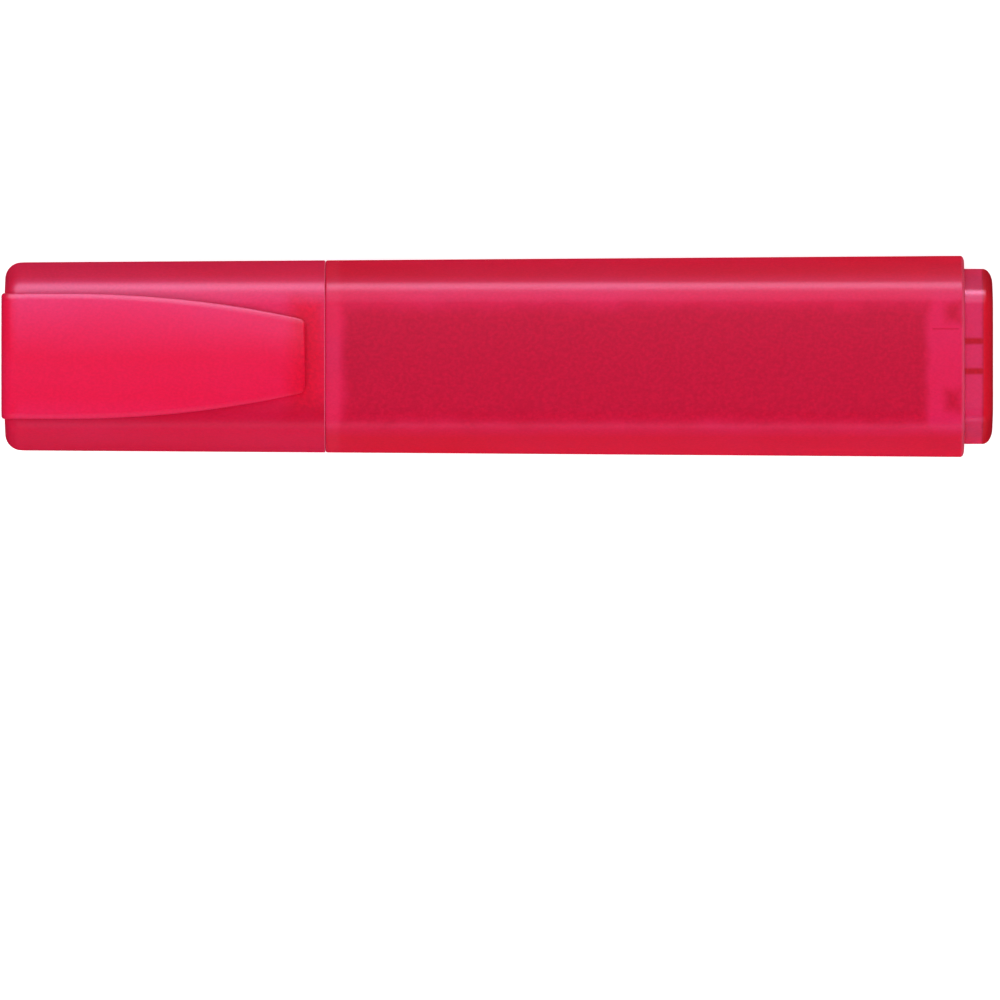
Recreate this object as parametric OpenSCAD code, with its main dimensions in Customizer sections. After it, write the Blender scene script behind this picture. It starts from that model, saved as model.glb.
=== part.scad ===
// Flat highlighter pen with a pull-off cap, lying on one of its flat faces.
// +X runs along the pen from the cap to the end plug, +Z is up, and the origin is
// under the middle of the pen on the surface it lies on. Millimetres throughout.

/* [Body] */
// Length of the barrel, from its shoulder to its rear rim
barrel_len = 77.3; // [60:0.1:100]
// Width of the barrel at its rear rim, which is the widest place
body_w = 24.4; // [20:0.1:30]
// Thickness of the barrel and of the cap, without the clip
body_t = 13.5; // [11.2:0.1:18]
// Width of the flat face on the top and on the underside
face_w = 15.9; // [13:0.1:19.1]
// Height of the upright strip in the middle of each side
side_h = 1.6; // [0.8:0.1:2.4]
// Radius of the slightly convex bevels between the faces and the sides
bevel_r = 26; // [16:1:60]
// Draft of each side of the barrel, in degrees, narrowing towards the shoulder
barrel_draft = 0.41; // [0:0.01:0.8]
// Wall of the barrel
wall = 1.25; // [1.2:0.05:1.6]
// Wall of the barrel's rear rim, which is bored out for the end plug
rim_wall = 0.95; // [0.7:0.05:1.1]
// Radius on the barrel's outer end edges and on the cap's mouth
edge_r = 0.35; // [0.2:0.05:0.6]

/* [Horn] */
// Length of the horn that narrows from the shoulder to the nib holder
horn_len = 14.1; // [11:0.1:18]
// Slope of the horn where it leaves the nib holder, in degrees
horn_entry = 7.6; // [2:0.1:12]
// Wall of the horn
horn_wall = 0.9; // [0.7:0.05:1]
// How far the barrel's ribs hold the ink reservoir back from the shoulder
reservoir_set_back = 2; // [1.5:0.1:4]

/* [Nib] */
// Diameter of the nib holder, which the inner cap seals on
collar_d = 8; // [7.6:0.1:9.6]
// Length of the nib holder in front of the horn
collar_len = 5.6; // [4.5:0.1:7]
// Length of the nib holder's spigot inside the horn
spigot_len = 5; // [4:0.1:6]
// Width of the nib, which is the widest line it draws
nib_w = 5; // [4.2:0.1:5.2]
// Thickness of the nib
nib_t = 3.3; // [2.8:0.1:3.6]
// How far the nib's long corner stands out of its holder
nib_out = 6; // [5:0.1:8]
// Slant of the nib's writing edge, in degrees
nib_slant = 18.4; // [0:0.1:30]
// Thickness of the nib's writing edge
nib_edge_t = 0.9; // [0.5:0.1:1.4]
// Length of the wedge that is ground on each face of the nib
nib_wedge_len = 3.6; // [2.5:0.1:4.5]
// How far the nib's tail reaches into the ink reservoir
nib_dip = 5; // [3:0.1:10]

/* [Ink reservoir] */
// Width of the ink reservoir with its film
reservoir_w = 14.2; // [11:0.1:16]
// Radius of the reservoir's long edges
reservoir_r = 3; // [1:0.1:4]
// Thickness of the film around the fibre
film_t = 0.15; // [0.1:0.05:0.3]
// Thickness of the ribs inside the barrel
rib_t = 0.7; // [0.5:0.05:1]

/* [End plug] */
// How far the end plug stands out behind the barrel
plug_out = 3.45; // [2.5:0.05:6]
// Length of the plug's skirt inside the barrel
skirt_len = 4.4; // [3.5:0.1:6]
// Wall of the plug's skirt and of its boss
skirt_wall = 0.9; // [0.7:0.05:1.1]
// Thickness of the plug's end wall
plug_end_t = 1.15; // [0.9:0.05:1.6]
// Radius on the plug's end edge
plug_edge_r = 1; // [0.5:0.1:1.1]
// Distance between the plug's two inner ribs, centre to centre
plug_rib_pitch = 3.65; // [2.5:0.05:5]
// Thickness of the plug's inner ribs
plug_rib_t = 0.6; // [0.5:0.05:0.9]
// Distance between the snap lugs on one face of the skirt
lug_pitch = 10.6; // [8:0.1:12]

/* [Cap] */
// Length of the cap
cap_len = 38.8; // [32.3:0.1:48]
// Draft of each side of the cap, in degrees, narrowing towards its closed end
cap_draft = 0.38; // [0:0.01:0.8]
// Wall of the cap at its mouth
cap_wall = 0.95; // [0.8:0.05:1.15]
// Thickness of the cap's end wall
cap_end_t = 1.2; // [1:0.05:2]
// Radius round the cap's closed end
cap_end_r = 2; // [1.5:0.1:3]
// Wall of the inner cap
inner_wall = 0.8; // [0.6:0.05:1]
// How much of the nib holder the inner cap covers
seal_len = 4.2; // [3:0.1:4.4]

/* [Clip] */
// Gap between the clip and the cap at the clip's root
clip_gap = 1; // [0.8:0.1:2]
// Thickness of the clip at its root
clip_t = 1.5; // [1.2:0.1:2]
// Gap between the clip's tip and the cap, beside the bump
clip_tip_gap = 0.65; // [0.4:0.05:1.2]
// Thickness of the clip at its tip
clip_tip_t = 1.1; // [0.9:0.1:1.5]
// Width of the clip at its tip
clip_tip_w = 8.8; // [6:0.1:12]
// Length of the clip's parallel stretch, from the cap's closed end
clip_straight = 8; // [4:0.1:14]
// How far the clip's tip stops short of the cap's mouth
clip_set_back = 2.4; // [1:0.1:6]
// Length of the root block that joins the clip to the cap
clip_root_len = 2.6; // [2:0.1:4]

/* [Hidden] */
// Clearances
seam_gap = 0.1;         // between the cap's mouth and the barrel's shoulder
cap_fit = 0.08;         // between the cap's mouth and the horn's base
plug_fit = 0.03;        // between the plug's skirt and the barrel's rim
bore_fit = 0.03;        // between the nib holder's spigot and the horn
nib_fit = 0.03;         // between the nib and its holder
seal_fit = 0.04;        // between the inner cap and the nib holder
reservoir_fit = 0.2;    // between the reservoir and the barrel's walls and ribs
fin_fit = 0.02;         // between the inner cap's fins and the cap
lug_fit = 0.1;          // around each snap lug
clip_fit = 0.15;        // under the clip's bump

// Small sizes of single features
root_proud = 0.33;      // the clip's root stands this far out of the cap's end
plug_sink = 0.3;        // the plug's step lies this far below the barrel's rear rim
collar_step = 0.06;     // the horn is this much wider than the nib holder, on radius
collar_r = 0.6;         // radius on the nib holder's front edge
spigot_step = 0.6;      // the spigot is this much smaller than the nib holder, on radius
nib_edge_r = 0.35;      // radius along the nib's long edges
nib_clearance = 0.6;    // between the nib and the barrel's ribs
lug_size = [1.2, 2.2, 0.16];
lug_in = 1.3;           // from the barrel's rear rim to the middle of a snap lug
vent_w = 0.5;           // width of the vent groove along the plug's skirt
vent_depth = 0.35;
vent_y = 3.3;           // how far the vent groove lies off the centre line
fin_t = 0.8;            // thickness of the inner cap's fins
fin_len = 14;           // length of the inner cap's fins
bump_in = 2;            // from the clip's tip to its bump
bump_short = 0.8;       // the bump stops this far inside each side of the clip
clip_margin = 0.35;     // the clip's root is this much narrower than the face, each side
ring_turns = 8;         // points on each of a section's four arcs, less one
horn_stations = 12;
horn_rise = [1.5, 1.4, 1, 2];   // how late the horn's thickness, faces, sides and bevels grow
sliver = 0.05;          // a flat that keeps two points of a round section apart
overlap = 0.02;         // how far a fused feature sinks into what it stands on

// Places along the pen
total_len = root_proud + cap_len + seam_gap + barrel_len + plug_out;
x_cap_end = root_proud - total_len / 2;
x_mouth = x_cap_end + cap_len;
x_shoulder = x_mouth + seam_gap;
x_rear = x_shoulder + barrel_len;
x_plug_end = x_rear + plug_out;
x_horn = x_shoulder - horn_len;
x_collar = x_horn - collar_len;
x_nib_tip = x_collar - nib_out;
x_skirt = x_rear - skirt_len;
x_reservoir = x_shoulder + reservoir_set_back;
x_nib_tail = x_reservoir + nib_dip;
x_clip = x_cap_end + clip_root_len;
x_clip_tip = x_mouth - clip_set_back;
axis_z = body_t / 2;

// Sizes that follow from the driving ones
spigot_r = collar_d / 2 - spigot_step;
horn_bore_r = spigot_r + bore_fit;
inner_r = collar_d / 2 + seal_fit;
inner_out_r = inner_r + inner_wall;
cap_floor_r = cap_end_r - cap_wall;
reservoir_t = body_t - 2 * wall - 2 * reservoir_fit;
clip_half = face_w / 2 - clip_margin;
clip_top = body_t + clip_gap + clip_t;
clip_tip_top = body_t + clip_tip_gap + clip_tip_t;
bump_r = clip_tip_gap;

// A section is [half width, half thickness, half face width, half side height, bevel radius]:
// flat faces above and below, upright sides, and a slightly convex bevel at each corner.

// Centre of the arc that a section's bevel follows
function arc_centre(s) =
    let(
        a = [s[2], s[1]],
        b = [s[0], s[3]],
        half = norm(b - a) / 2,
        out = [a[1] - b[1], b[0] - a[0]] / (2 * half)
    )
    (a + b) / 2 - out * sqrt(s[4] * s[4] - half * half);

// The section that lies t inside another, with the same arc centres
function inset(s, t) =
    let(c = arc_centre(s), r = s[4] - t, y = s[0] - t, z = s[1] - t)
    [
        y, z,
        max(sliver, c[0] + sqrt(r * r - pow(z - c[1], 2))),
        max(sliver, c[1] + sqrt(r * r - pow(y - c[0], 2))),
        r
    ];

// A round section
function round_section(r) = [r, r, sliver, sliver, r];

// One bevel's points, from the face to the side
function arc_points(s) =
    let(
        c = arc_centre(s),
        first = atan2(s[1] - c[1], s[2] - c[0]),
        last = atan2(s[3] - c[1], s[0] - c[0])
    )
    [for (i = [0 : ring_turns])
        let(a = first + (last - first) * i / ring_turns)
        c + s[4] * [cos(a), sin(a)]];

// A section's points in the plane at x, turning from the top towards +Y
function ring(x, s) =
    let(p = arc_points(s), n = ring_turns)
    concat(
        [for (i = [0 : n]) [x, p[i][0], axis_z + p[i][1]]],
        [for (i = [n : -1 : 0]) [x, p[i][0], axis_z - p[i][1]]],
        [for (i = [0 : n]) [x, -p[i][0], axis_z - p[i][1]]],
        [for (i = [n : -1 : 0]) [x, -p[i][0], axis_z + p[i][1]]]
    );

// Rings that round an outer edge between the end at x and the side of section s;
// way is 1 where the body runs on towards +X and -1 where it runs towards -X
function rounded(x, s, r, way, steps) =
    [for (i = [0 : steps])
        let(a = 90 * i / steps)
        [x + way * r * (1 - cos(a)), inset(s, r * (1 - sin(a)))]];

function reversed(list) = [for (i = [len(list) - 1 : -1 : 0]) list[i]];

// Skins a list of [x, section] stations; a loop joins the last station to the first,
// and otherwise both ends are closed
module skin(stations, loop = false) {
    n = 4 * (ring_turns + 1);
    rows = len(stations);
    points = [for (s = stations) each ring(s[0], s[1])];
    sides = [for (i = [0 : rows - (loop ? 1 : 2)], j = [0 : n - 1])
        let(a = i * n, b = (i + 1) % rows * n, k = (j + 1) % n)
        each [[a + j, a + k, b + k], [a + j, b + k, b + j]]];
    ends = [
        [for (j = [n - 1 : -1 : 0]) j],
        [for (j = [0 : n - 1]) (rows - 1) * n + j]
    ];
    polyhedron(points, loop ? sides : concat(sides, ends), convexity = 10);
}

// Sections of the barrel and of the cap at x
function barrel_section(x) =
    let(half_w = body_w / 2 - (x_rear - x) * tan(barrel_draft))
    [half_w, body_t / 2, face_w / 2, side_h / 2, bevel_r];
function cap_section(x) =
    let(s = barrel_section(x_shoulder))
    [s[0] - (x_mouth - x) * tan(cap_draft), s[1], s[2], s[3], s[4]];

// What the cap's mouth fits round, at the horn's base and on the plug's boss
function spigot_section() = inset(cap_section(x_mouth), cap_wall + cap_fit);

// The horn's section, s millimetres behind the nib holder. Its sides are circular arcs.
function horn_section(s) =
    let(
        base = spigot_section(),
        r0 = collar_d / 2 + collar_step,
        rise = base[0] - r0,
        exit = 2 * atan(rise / horn_len) - horn_entry,
        r = horn_len / (sin(exit) - sin(horn_entry)),
        slope = asin(sin(horn_entry) + s / r),
        share = s / horn_len
    )
    [
        r0 + r * (cos(horn_entry) - cos(slope)),
        r0 + (base[1] - r0) * pow(share, horn_rise[0]),
        max(sliver, base[2] * pow(share, horn_rise[1])),
        max(sliver, base[3] * pow(share, horn_rise[2])),
        r0 + (base[4] - r0) * pow(share, horn_rise[3])
    ];

// Barrel: shoulder, tapering body and horn in one moulding, with ribs for the reservoir
module barrel_shell() {
    front = barrel_section(x_shoulder);
    rear = barrel_section(x_rear);
    horn = [for (i = [0 : horn_stations])
        let(s = horn_len * i / horn_stations) [x_horn + s, horn_section(s)]];
    hollow = [for (i = [horn_stations : -1 : 0])
        let(s = spigot_len + (horn_len - spigot_len) * i / horn_stations)
        [x_horn + s, inset(horn_section(s), horn_wall)]];
    skin(concat(
        horn,
        rounded(x_shoulder, front, edge_r, 1, 3),
        reversed(rounded(x_rear, rear, edge_r, -1, 3)),
        [
            [x_rear, inset(rear, rim_wall)],
            [x_skirt, inset(rear, rim_wall)],
            [x_skirt, inset(rear, wall)],
            [x_shoulder + wall, inset(barrel_section(x_shoulder + wall), wall)]
        ],
        hollow,
        [
            [x_horn + spigot_len, round_section(horn_bore_r)],
            [x_horn, round_section(horn_bore_r)]
        ]
    ), loop = true);
}

// Half of the horn's middle rib: it follows the middle of the wall and stops the reservoir
module stop_rib(up) {
    start = horn_len * 0.55;
    low = nib_t / 2 + nib_clearance;
    outer = [for (i = [0 : horn_stations])
        let(s = start + (horn_len - start) * i / horn_stations)
        [x_horn + s, horn_section(s)[1] - horn_wall / 2]];
    outline = concat(
        [[x_horn + start, low]],
        outer,
        [[x_shoulder + wall / 2, body_t / 2 - wall / 2],
         [x_reservoir, body_t / 2 - wall / 2],
         [x_reservoir, low]]
    );
    translate([0, rib_t / 2, axis_z])
        rotate([90, 0, 0])
            linear_extrude(rib_t)
                polygon([for (p = outline) [p[0], up * p[1]]]);
}

// Rib along one side of the barrel that keeps the reservoir in the middle
module side_rib(way) {
    near = reservoir_w / 2 + reservoir_fit;
    x_end = x_skirt - reservoir_set_back;
    outline = [
        [x_reservoir, near],
        [x_end, near],
        [x_end, barrel_section(x_end)[0] - wall / 2],
        [x_reservoir, barrel_section(x_reservoir)[0] - wall / 2]
    ];
    translate([0, 0, axis_z - rib_t / 2])
        linear_extrude(rib_t)
            polygon([for (p = outline) [p[0], way * p[1]]]);
}

// The four snap lugs of the end plug, or with room around them the pockets they snap into
module snap_lugs(room) {
    size = lug_size + [2, 2, 1] * room;
    surface = body_t / 2 - rim_wall - plug_fit;
    for (side = [-1, 1], up = [-1, 1])
        translate([x_rear - lug_in, side * lug_pitch / 2,
                   axis_z + up * (surface - overlap + (size[2] + overlap) / 2)])
            cube([size[0], size[1], size[2] + overlap], center = true);
}

module barrel() {
    color([0.88, 0.12, 0.27, 0.75])
    difference() {
        union() {
            barrel_shell();
            for (way = [-1, 1]) {
                stop_rib(way);
                side_rib(way);
            }
        }
        snap_lugs(lug_fit);
    }
}

// Nib's outline seen from above: a slanted writing edge and a tapered tail
module nib_outline() {
    half = nib_w / 2;
    tail = half * 0.45;
    polygon([
        [x_nib_tip, half],
        [x_nib_tail - nib_dip / 2, half],
        [x_nib_tail, tail],
        [x_nib_tail, -tail],
        [x_nib_tail - nib_dip / 2, -half],
        [x_nib_tip + nib_w * tan(nib_slant), -half]
    ]);
}

// Nib's outline seen from the side: both faces are ground to a wedge at the tip
module nib_profile() {
    half = nib_t / 2;
    edge = nib_edge_t / 2;
    x_wedge = x_nib_tip + nib_wedge_len;
    polygon([
        [x_nib_tip, edge], [x_wedge, half], [x_nib_tail, half],
        [x_nib_tail, -half], [x_wedge, -half], [x_nib_tip, -edge]
    ]);
}

// A w by t rectangle with its corners rounded to r
module rounded_rect(w, t, r) {
    square([w - 2 * r, t], center = true);
    square([w, t - 2 * r], center = true);
    for (y = [-1, 1], z = [-1, 1])
        translate([y * (w / 2 - r), z * (t / 2 - r)])
            circle(r, $fn = 32);
}

// Extrudes a section drawn as [y, z] about the pen's axis, from x for length len
module along_pen(x, len) {
    translate([x, 0, axis_z])
        rotate([90, 0, 90])
            linear_extrude(len)
                children();
}

module nib_solid() {
    intersection() {
        linear_extrude(body_t)
            nib_outline();
        translate([0, nib_w, axis_z])
            rotate([90, 0, 0])
                linear_extrude(2 * nib_w)
                    nib_profile();
        along_pen(x_nib_tip, x_nib_tail - x_nib_tip)
            rounded_rect(nib_w, nib_t, nib_edge_r);
    }
}

module nib() {
    color([0.80, 0.13, 0.30])
    nib_solid();
}

// Nib holder: a ring that the inner cap seals on, with a spigot pressed into the horn
module nib_holder() {
    slot = [nib_w + 2 * nib_fit, nib_t + 2 * nib_fit];
    color([0.95, 0.55, 0.66, 0.7])
    difference() {
        translate([x_collar, 0, axis_z])
            rotate([0, 90, 0])
                rotate_extrude($fn = 64)
                    holder_profile();
        along_pen(x_collar - 1, collar_len + spigot_len + 2)
            rounded_rect(slot[0], slot[1], nib_edge_r);
    }
}

// Half section of the nib holder, from its axis outwards
module holder_profile() {
    r = collar_d / 2;
    difference() {
        union() {
            square([r, collar_len]);
            square([spigot_r, collar_len + spigot_len]);
        }
        difference() {
            translate([r - collar_r, -1])
                square([collar_r + 1, collar_r + 1]);
            translate([r - collar_r, collar_r])
                circle(collar_r, $fn = 48);
        }
    }
}

module ink_reservoir() {
    color([0.72, 0.08, 0.22])
    difference() {
        along_pen(x_reservoir, x_skirt - x_reservoir)
            rounded_rect(reservoir_w - 2 * film_t, reservoir_t - 2 * film_t,
                         reservoir_r - film_t);
        nib_solid();
    }
}

module reservoir_film() {
    color([0.95, 0.70, 0.76, 0.4])
    along_pen(x_reservoir, x_skirt - x_reservoir)
        difference() {
            rounded_rect(reservoir_w, reservoir_t, reservoir_r);
            rounded_rect(reservoir_w - 2 * film_t, reservoir_t - 2 * film_t,
                         reservoir_r - film_t);
        }
}

// End plug: a boss that the cap can be pushed on to, a skirt in the barrel and two ribs
module end_plug() {
    boss = spigot_section();
    skirt = inset(barrel_section(x_rear), rim_wall + plug_fit);
    x_step = x_rear - plug_sink;
    x_floor = x_plug_end - plug_end_t;
    color([0.85, 0.12, 0.24, 0.8])
    difference() {
        union() {
            skin(concat(
                [
                    [x_floor, inset(boss, skirt_wall)],
                    [x_step, inset(boss, skirt_wall)],
                    [x_step - skirt_wall, inset(skirt, skirt_wall)],
                    [x_skirt, inset(skirt, skirt_wall)],
                    [x_skirt, skirt],
                    [x_step, skirt],
                    [x_step, boss]
                ],
                reversed(rounded(x_plug_end, boss, plug_edge_r, -1, 5))
            ));
            plug_ribs(x_floor, inset(boss, skirt_wall / 2), inset(skirt, skirt_wall / 2));
            snap_lugs(0);
        }
        translate([x_skirt - 1, vent_y - vent_w / 2, axis_z + skirt[1] - vent_depth])
            cube([x_step - x_skirt + 1, vent_w, vent_depth + 1]);
    }
}

// The plug's two upright ribs, from its end wall to the reservoir
module plug_ribs(x_floor, in_boss, in_skirt) {
    x_step = x_rear - plug_sink;
    outline = [
        [x_floor + plug_end_t / 2, in_boss[1]],
        [x_step - skirt_wall, in_boss[1]],
        [x_step - skirt_wall - 0.2, in_skirt[1]],
        [x_skirt + 0.3, in_skirt[1]],
        [x_skirt + 0.3, -in_skirt[1]],
        [x_step - skirt_wall - 0.2, -in_skirt[1]],
        [x_step - skirt_wall, -in_boss[1]],
        [x_floor + plug_end_t / 2, -in_boss[1]]
    ];
    for (side = [-1, 1])
        translate([0, side * plug_rib_pitch / 2 + plug_rib_t / 2, axis_z])
            rotate([90, 0, 0])
                linear_extrude(plug_rib_t)
                    polygon(outline);
}

// Cap: a tapering shell, closed at its left end, with the root block of the clip
module cap_shell() {
    inside = inset(cap_section(x_mouth), cap_wall);
    x_floor = x_cap_end + cap_end_t;
    inner_end = inset(cap_section(x_floor), cap_wall);
    color([0.90, 0.12, 0.29, 0.75])
    union() {
        skin(concat(
            rounded(x_cap_end, cap_section(x_cap_end), cap_end_r, 1, 6),
            reversed(rounded(x_mouth, cap_section(x_mouth), edge_r, -1, 3)),
            [[x_mouth, inside]],
            reversed(rounded(x_floor, inner_end, cap_floor_r, 1, 3))
        ));
        clip_root();
    }
}

// Block at the cap's closed end that carries the clip and wraps over the end's edge
module clip_root() {
    x_out = x_cap_end - root_proud;
    r = 1.2;
    low = body_t / 2 + 1;
    outline = concat(
        [[x_clip, body_t - cap_wall / 2], [x_cap_end + cap_end_t / 2, body_t - cap_end_r],
         [x_cap_end + cap_end_t / 2, low], [x_cap_end, low], [x_out, low + root_proud]],
        [for (i = [0 : 4])
            let(a = 90 * i / 4) [x_out + r * (1 - cos(a)), clip_top - r * (1 - sin(a))]],
        [[x_clip, clip_top]]
    );
    translate([0, clip_half, 0])
        rotate([90, 0, 0])
            linear_extrude(2 * clip_half)
                polygon(outline);
}

// Inner cap: a cup that seals on the nib holder, with fins that hold it in the cap
module inner_cap() {
    x_floor = x_cap_end + cap_end_t;
    cup_len = x_collar + seal_len - x_floor;
    fin_end = cap_section(x_floor + cap_end_r)[0] - cap_wall - fin_fit;
    fin_up = body_t / 2 - cap_wall - fin_fit;
    color([0.96, 0.72, 0.78, 0.6])
    union() {
        translate([x_floor, 0, axis_z])
            rotate([0, 90, 0])
                rotate_extrude($fn = 64)
                    cup_profile(cup_len);
        for (side = [-1, 1]) {
            translate([x_floor + cap_end_r, side > 0 ? inner_out_r - overlap : -fin_end,
                       axis_z - fin_t / 2])
                cube([fin_len, fin_end - inner_out_r + overlap, fin_t]);
            translate([x_floor + cap_end_r, -fin_t / 2,
                       axis_z + (side > 0 ? inner_out_r - overlap : -fin_up)])
                cube([fin_len, fin_t, fin_up - inner_out_r + overlap]);
        }
    }
}

// Half section of the inner cap: a tube with a floor that clears the cap's inner corner,
// and a lead-in at its mouth
module cup_profile(len) {
    lead = inner_wall / 2;
    polygon([
        [0, 0], [inner_out_r - cap_floor_r, 0], [inner_out_r, cap_floor_r],
        [inner_out_r, len], [inner_r + lead, len], [inner_r, len - 2 * lead],
        [inner_r, inner_wall], [0, inner_wall]
    ]);
}

// Clip's outline seen from above: parallel, then drawn in by two arcs to its tip
module clip_outline() {
    x_arc = x_cap_end + clip_straight;
    run = x_clip_tip - x_arc;
    drop = clip_half - clip_tip_w / 2;
    r = (run * run + drop * drop) / (2 * drop);
    steps = 12;
    edge = concat([[x_clip, clip_half]], [for (i = [0 : steps])
        let(d = run * i / steps) [x_arc + d, clip_half - r + sqrt(r * r - d * d)]]);
    polygon(concat(edge, [for (p = reversed(edge)) [p[0], -p[1]]]));
}

// Clip's outline seen from the side: it thins towards its tip and curves down a little
module clip_profile() {
    run = x_clip_tip - x_clip;
    steps = 8;
    top = [for (i = [0 : steps])
        let(u = i / steps) [x_clip + run * u, clip_top - (clip_top - clip_tip_top) * u * u]];
    polygon(concat(top, [
        [x_clip_tip, body_t + clip_tip_gap],
        [x_clip, body_t + clip_gap]
    ]));
}

// Ridge across the underside of the clip's tip, rounded below
module clip_bump() {
    w = clip_tip_w - 2 * bump_short;
    translate([x_clip_tip - bump_in, w / 2, body_t + clip_fit + bump_r])
        rotate([90, 0, 0])
            linear_extrude(w)
                intersection() {
                    circle(bump_r, $fn = 48);
                    translate([-bump_r, -bump_r])
                        square([2 * bump_r, bump_r]);
                }
}

module clip() {
    color([0.92, 0.16, 0.34, 0.8])
    union() {
        intersection() {
            linear_extrude(clip_top + 1)
                clip_outline();
            translate([0, clip_half + 1, 0])
                rotate([90, 0, 0])
                    linear_extrude(2 * clip_half + 2)
                        clip_profile();
        }
        clip_bump();
    }
}

barrel();
nib_holder();
nib();
ink_reservoir();
reservoir_film();
end_plug();
cap_shell();
inner_cap();
clip();
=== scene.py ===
"""Looks of a flat highlighter pen with a pull-off cap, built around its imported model.

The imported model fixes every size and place. Each class below is one sub-assembly of the pen: it holds
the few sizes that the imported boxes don't give, builds its pieces as meshes and gives them their finish.
Lengths are in metres, +X runs from the cap to the end plug and +Z is up.
"""
import logging
import math
from dataclasses import dataclass, field, replace
from enum import Enum

import bpy
import bmesh
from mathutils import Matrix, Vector

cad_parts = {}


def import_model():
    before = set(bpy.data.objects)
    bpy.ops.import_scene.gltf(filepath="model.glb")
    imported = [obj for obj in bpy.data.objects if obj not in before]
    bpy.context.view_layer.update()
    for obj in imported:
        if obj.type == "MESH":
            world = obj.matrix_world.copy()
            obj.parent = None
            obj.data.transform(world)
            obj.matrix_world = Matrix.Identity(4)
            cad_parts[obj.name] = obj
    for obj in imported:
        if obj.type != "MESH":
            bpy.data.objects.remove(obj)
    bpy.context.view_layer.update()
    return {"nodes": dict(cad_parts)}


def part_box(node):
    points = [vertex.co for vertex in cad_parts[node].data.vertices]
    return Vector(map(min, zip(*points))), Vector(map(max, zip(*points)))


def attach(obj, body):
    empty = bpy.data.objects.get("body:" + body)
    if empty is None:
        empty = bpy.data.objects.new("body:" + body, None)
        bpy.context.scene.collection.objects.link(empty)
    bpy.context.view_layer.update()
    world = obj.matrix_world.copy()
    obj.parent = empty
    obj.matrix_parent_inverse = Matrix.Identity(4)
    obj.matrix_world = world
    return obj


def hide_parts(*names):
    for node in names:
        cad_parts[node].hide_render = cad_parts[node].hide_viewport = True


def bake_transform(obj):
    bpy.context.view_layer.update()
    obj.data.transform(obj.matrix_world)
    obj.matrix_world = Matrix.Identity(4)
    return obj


LOG = logging.getLogger("highlighter")
MM = 0.001
FAR = 1.0  # further than any place on the pen

Point2 = tuple[float, float]
Colour = tuple[float, float, float]


# ---------------------------------------------------------------- cross-sections and meshes


def spread(first: float, last: float, steps: int) -> list[float]:
    """steps + 1 evenly spaced values from first to last."""
    return [first + (last - first) * i / steps for i in range(steps + 1)]


@dataclass(frozen=True)
class Section:
    """Cross-section of the pen: flat faces, upright sides and slightly convex bevels between them."""

    half_w: float
    half_t: float
    half_face: float
    half_side: float
    bevel_r: float

    FACE_STEPS = (0.0, 0.35, 0.7, 0.9, 0.985)
    CORNER_STEPS = 12
    BEVEL_STEPS = 8
    SIDE_R = 1.0 * MM

    @classmethod
    def disc(cls, radius: float) -> "Section":
        """A round section."""
        sliver = 0.05 * MM
        return cls(radius, radius, sliver, sliver, radius)

    def bevel_centre(self) -> Point2:
        """Centre (y, z) of the arc that the upper right bevel follows.

        Returns:
            The centre, in metres about the pen's axis.
        """
        run, rise = self.half_w - self.half_face, self.half_t - self.half_side
        chord = math.hypot(run, rise)
        back = math.sqrt(max(0.0, self.bevel_r**2 - chord**2 / 4)) / chord
        return (
            (self.half_face + self.half_w) / 2 - rise * back,
            (self.half_t + self.half_side) / 2 - run * back,
        )

    def inset(self, depth: float) -> "Section":
        """The section that lies depth inside this one, with the same bevel centres.

        Args:
            depth: distance inwards from every face.

        Returns:
            The smaller section, whose bevels keep their centres.
        """
        cy, cz = self.bevel_centre()
        r = self.bevel_r - depth
        y, z = self.half_w - depth, self.half_t - depth
        face = cy + math.sqrt(max(0.0, r**2 - (z - cz) ** 2))
        side = cz + math.sqrt(max(0.0, r**2 - (y - cy) ** 2))
        if side < 0:
            y, side = cy + math.sqrt(max(0.0, r**2 - cz**2)), 0.0
        if face < 0:
            z, face = cz + math.sqrt(max(0.0, r**2 - cy**2)), 0.0
        return Section(y, z, face, side, r)

    def outline(self, corner_r: float, crown: float = 0.0) -> list[Point2]:
        """Closed outline with rounded corners, from the middle of the top face towards +Y.

        Args:
            corner_r: radius of the rounding between faces, bevels and sides.
            crown: how much higher the middle of a face stands than its edges.

        Returns:
            The (y, z) points about the pen's axis, always the same number of them.
        """
        shape = replace(self, half_t=self.half_t - crown)
        side_r = min(corner_r, self.SIDE_R)
        core, flank = shape.inset(corner_r), shape.inset(side_r)
        cy, cz = shape.bevel_centre()
        first = math.atan2(core.half_t - cz, core.half_face - cy)
        last = math.atan2(flank.half_side - cz, flank.half_w - cy)
        lean = math.atan2(2 * crown, max(core.half_face, MM))
        quarter = [
            (core.half_face * k, shape.half_t + crown * (1 - k * k))
            for k in self.FACE_STEPS
        ]
        quarter += [
            (core.half_face + corner_r * math.cos(a), core.half_t + corner_r * math.sin(a))
            for a in spread(math.pi / 2 - lean, first, self.CORNER_STEPS)
        ]
        quarter += [
            (cy + shape.bevel_r * math.cos(a), cz + shape.bevel_r * math.sin(a))
            for a in spread(first, last, self.BEVEL_STEPS)[1:]
        ]
        quarter += [
            (flank.half_w + side_r * math.cos(a), flank.half_side + side_r * math.sin(a))
            for a in spread(last, 0.0, self.CORNER_STEPS // 2)[1:]
        ]
        quarter.append((flank.half_w + side_r, 0.0))
        back = quarter[::-1]
        return (
            quarter
            + [(y, -z) for y, z in back[1:]]
            + [(-y, -z) for y, z in quarter[1:]]
            + [(-y, z) for y, z in back[1:-1]]
        )


@dataclass(frozen=True)
class Ring:
    """One closed row of points of a skin, and the finish of the faces that lead to the next row."""

    points: list[Vector]
    slot: int = 0


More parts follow.
